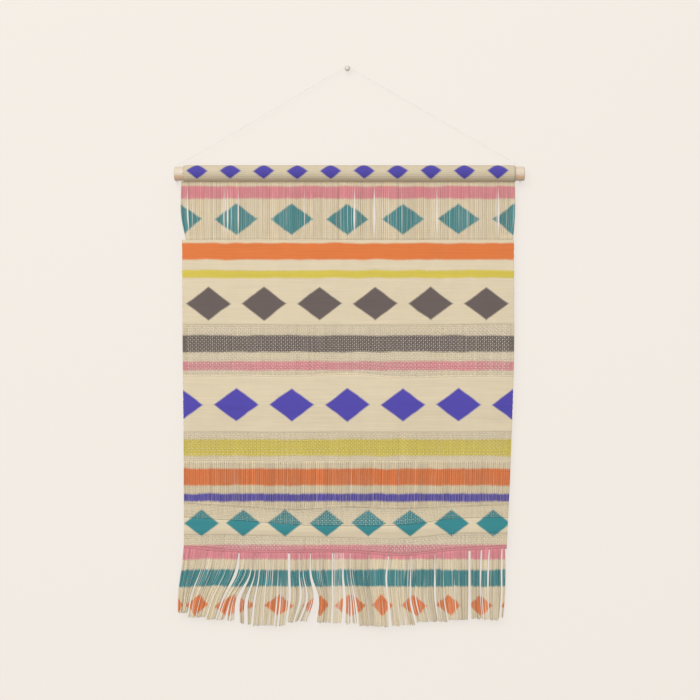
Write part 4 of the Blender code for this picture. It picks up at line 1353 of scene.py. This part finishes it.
def make_ribs(material):
    """The band of close, unwoven warp: every second end lies a little proud."""
    rng = np.random.default_rng(SEEDS["ribs"])
    one_each = (WARP_ENDS, 1)
    places = (np.arange(WARP_ENDS) + 0.5) / WARP_ENDS
    down = np.linspace(-RIB_TUCK, 1.0 + RIB_TUCK, RIB_STEPS)
    stray = rng.normal(size=one_each) * RIB_STRAY
    sway = rng.normal(size=one_each) * RIB_SWAY * np.sin(math.pi * down)[None, :]
    across = places[:, None] + stray + sway
    first_drop = float(line_drop("ribs_head", 0.0))
    x, drop = place_in_band("ribs_head", "ribs_foot", across, down[None, :], first_drop)
    behind = every_other(WARP_ENDS, RIB_LIE)[:, None] * MM + RIB_UNEVEN * rng.normal(size=one_each)
    lines = stack(x, cloth_depth(x, drop) + behind, -drop)
    flat = stack(x, 0.0, -drop + WARP_SLIP * rng.normal(size=one_each))
    # painted shade: every second end, which lies further back, is darker
    tones = rng.normal(RIB_TONE, RIB_TONE_SPREAD, WARP_ENDS) - every_other(WARP_ENDS, (0.0, RIB_SHADE))
    widths = WARP_WIDTH / 2 * rng.uniform(*RIB_WIDTHS, one_each)
    batches = [(lines, widths, WARP_DEPTH / 2, flat, tones, YARN_SIDES)]
    return yarn_piece("close_ribs", batches, material, ["woven_cloth"])


def slit_shift(x, slits):
    """How far a yarn at x is pushed aside where the slits are widest."""
    shift = np.zeros_like(x)
    for centre, width, reach in slits:
        away = x / MM - centre
        shift += np.where(away >= 0, 1.0, -1.0) * width / 2 * np.exp(-np.abs(away) / reach)
    return shift * MM


def make_open_warp(material):
    """Unwoven yarns under the sleeve, parted by slits and drawn in at the outer edges."""
    rng = np.random.default_rng(SEEDS["open_warp"])
    one_each = (WARP_ENDS, 1)
    left = float(cloth_side(LEFT, WARP_HEAD)) + WARP_WIDTH / 2
    right = float(cloth_side(RIGHT, WARP_HEAD)) - WARP_WIDTH / 2
    top = np.linspace(left, right, WARP_ENDS)
    drawn_in = WARP_PULL_LEFT * np.exp(-(top - left) / WARP_PULL_REACH)
    drawn_in -= WARP_PULL_RIGHT * np.exp(-(right - top) / WARP_PULL_REACH)
    centres = rng.uniform(left, right, FINE_SLITS)
    gaps = rng.uniform(*FINE_SLIT_WIDTHS, FINE_SLITS)
    fine = [
        (float(x) / MM, float(width), FINE_SLIT_REACH / MM) for x, width in zip(centres, gaps)
    ]
    parted = slit_shift(top, WARP_SLITS) + slit_shift(top, fine)
    share = np.linspace(0.0, 1.0, WARP_STEPS)
    opening = np.where(
        share < WARP_MIDDLE,
        0.5 - 0.5 * np.cos(math.pi * share / WARP_MIDDLE),
        0.5 + 0.5 * np.cos(math.pi * (share - WARP_MIDDLE) / (1.0 - WARP_MIDDLE)),
    )
    drawing = smooth_through((0.0, WARP_MIDDLE, 1.0), (0.0, WARP_PULLED, 1.0), share)
    sway = WARP_SWAY * rng.normal(size=one_each) * opening
    x = top[:, None] + parted[:, None] * opening + drawn_in[:, None] * drawing + sway
    foot = line_drop("warp_foot", top)[:, None] + TUCK
    drop = WARP_HEAD + (foot - WARP_HEAD) * share
    behind = every_other(WARP_ENDS, WARP_LIE)[:, None] * MM + WARP_UNEVEN * rng.normal(size=one_each)
    behind = behind * np.minimum(1.0, 4.0 * opening)
    lines = stack(x, cloth_depth(x, drop) + behind, -drop)
    flat = stack(top[:, None], 0.0, -drop + WARP_SLIP * rng.normal(size=one_each))
    tones = rng.normal(WARP_TONE, WARP_TONE_SPREAD, WARP_ENDS)
    # painted shade: every second end, which lies further back, is darker
    tones = tones - every_other(WARP_ENDS, (0.0, WARP_SHADE))
    batches = [(lines, WARP_WIDTH / 2, WARP_DEPTH / 2, flat, tones, YARN_SIDES)]
    return yarn_piece("open_warp", batches, material, ["open_warp_upper"])


def make_weft_cords(material):
    """Thick wefts across the cloth where one weave ends and the next begins."""
    rng = np.random.default_rng(SEEDS["cords"])
    across = np.linspace(0.0, 1.0, WEFT_CORD_STEPS)[None, :]
    over = np.cos(math.pi * np.arange(WEFT_CORD_STEPS))[None, :]
    bends = np.linspace(0, 1, WEFT_CORD_BENDS)
    batches = []
    for line, step, half_height, half_depth, tone in WEFT_CORDS:
        x, drop = place_in_band(line, line, across, 0.0, float(line_drop(line, 0.0)))
        drop = drop + step * MM
        slow = smooth_through(bends, rng.normal(size=WEFT_CORD_BENDS), across)
        depth = cloth_depth(x, drop) + WEFT_CORD_WEAVE * over
        lines = stack(x, depth, -drop - WEFT_CORD_WANDER * slow)
        half_heights = half_height * MM * (1.0 + WEFT_CORD_BEAD * over)
        flat = stack(x, 0.0, -drop)
        # each cord's tone paints a lit ridge's highlight (above 1) and a shadow line (below 1)
        batches.append((lines, half_heights, half_depth * MM, flat, np.array([tone]), WEFT_CORD_SIDES))
    return yarn_piece("weft_cords", batches, material, ["woven_cloth"])


def fringe_lines():
    """Centre lines, print places and tones of the fringe's yarns, and their steps' shares."""
    rng = np.random.default_rng(SEEDS["fringe"])
    share = np.append(np.linspace(0.0, FRINGE_LAST, FRINGE_STEPS - 1), 1.0)
    lines = []
    places = []
    tones = []
    for *sides, foot_drop, forward, fullness, tone in FRINGE_LOCKS:
        left = smooth_through(FRINGE_LEVELS, sides[0::2], share) * MM
        right = smooth_through(FRINGE_LEVELS, sides[1::2], share) * MM
        lock_width = right[0] - left[0] + FRINGE_PITCH
        yarns = max(2, round(fullness * lock_width / FRINGE_PITCH))
        lie = (np.arange(yarns) + 0.5) / yarns
        stray = FRINGE_STRAY * rng.normal(size=(yarns, 1)) * share
        waves = 1.0 + rng.uniform(*FRINGE_WAVES, (yarns, 1))
        curl = FRINGE_CURL * rng.normal(size=(yarns, 1)) * np.sin(math.pi * waves * share)
        x = left + (right - left) * lie[:, None] + stray + curl
        root = line_drop("fringe_root", x[:, :1]) - TUCK
        cut = foot_drop * MM + CUT_UNEVEN * rng.normal(size=(yarns, 1))
        drop = root + (cut - root) * share
        layer = FRINGE_SPREAD * rng.uniform(-1.0, 1.0, (yarns, 1)) * np.minimum(1.0, 3.0 * share)
        y = cloth_depth(x[:, :1], root) - forward * MM * share + layer
        lines.append(stack(x, y, -drop))
        flat_drop = drop + FRINGE_SLIP * rng.normal(size=(yarns, 1))
        places.append(stack(x[:, :1], 0.0, -flat_drop))
        tones.append(np.full(yarns, tone))
    return np.concatenate(lines), np.concatenate(places), np.concatenate(tones), share


def make_fringe(material):
    """The warp's free ends, each with a few fibres that part at its cut end."""
    lines, places, lock_tones, share = fringe_lines()
    rng = np.random.default_rng(SEEDS["fringe_ends"])
    yarns = len(lines)
    tones = lock_tones * rng.normal(1.0, FRINGE_TONE_SPREAD, yarns)
    taper = np.where(share > FRINGE_LAST, FRINGE_CUT_WIDTH, 1.0)[None, :]
    width = FRINGE_WIDTH / 2 * rng.uniform(*FRINGE_WIDTHS, (yarns, 1)) * taper
    batches = [(lines, width, FRINGE_DEPTH / 2 * taper, places, tones, YARN_SIDES)]

    tips = np.repeat(lines[:, -1], WISPS, axis=0)
    away = np.repeat(lines[:, -1] - lines[:, -2], WISPS, axis=0)
    away /= np.linalg.norm(away, axis=1, keepdims=True)
    scatter = WISP_SCATTER * rng.normal(size=tips.shape) * WISP_SCATTER_WAYS
    start = tips - WISP_BACK * away + scatter
    spread = rng.normal(size=tips.shape) * WISP_SPREAD
    reach = WISP_LENGTH * rng.uniform(*WISP_LENGTHS, (len(tips), 1, 1))
    way = np.linspace(0.0, 1.0, WISP_STEPS)[None, :, None]
    wisps = start[:, None, :] + reach * (way * away[:, None, :] + way**2 * spread[:, None, :])
    thin = WISP_RADIUS * np.linspace(1.0, WISP_TIP, WISP_STEPS)[None, :]
    flat = np.repeat(np.repeat(places[:, -1:], WISPS, axis=0), WISP_STEPS, axis=1)
    batches.append((wisps, thin, thin, flat, np.repeat(tones, WISPS), WISP_SIDES))
    return yarn_piece("fringe_yarns", batches, material, ["fringe"])


def main():
    make_camera()
    groups = {
        "print": make_print_group(),
        "ply": make_ply_group(),
        "weave": make_weave_group(),
        "mottle": make_mottle_group(),
    }
    make_string(make_string_material(groups))
    make_stage()
    make_pin(make_pin_material(groups))
    make_dowel(make_wood_material(groups))
    cloth, ribbed = [
        make_cloth_material(groups, name, *look) for name, look in CLOTH_LOOKS.items()
    ]
    yarn = make_yarn_material(groups)
    make_sleeve(ribbed)
    open_warp = make_open_warp(yarn)
    gauze = {name: make_gauze(name, yarn) for name in GAUZE_BANDS}
    ribs = make_ribs(yarn)
    cords = make_weft_cords(yarn)
    fringe = make_fringe(yarn)
    make_dense_band("upper", cloth)
    make_dense_band("middle", cloth)
    make_dense_band("lower", cloth)


main()
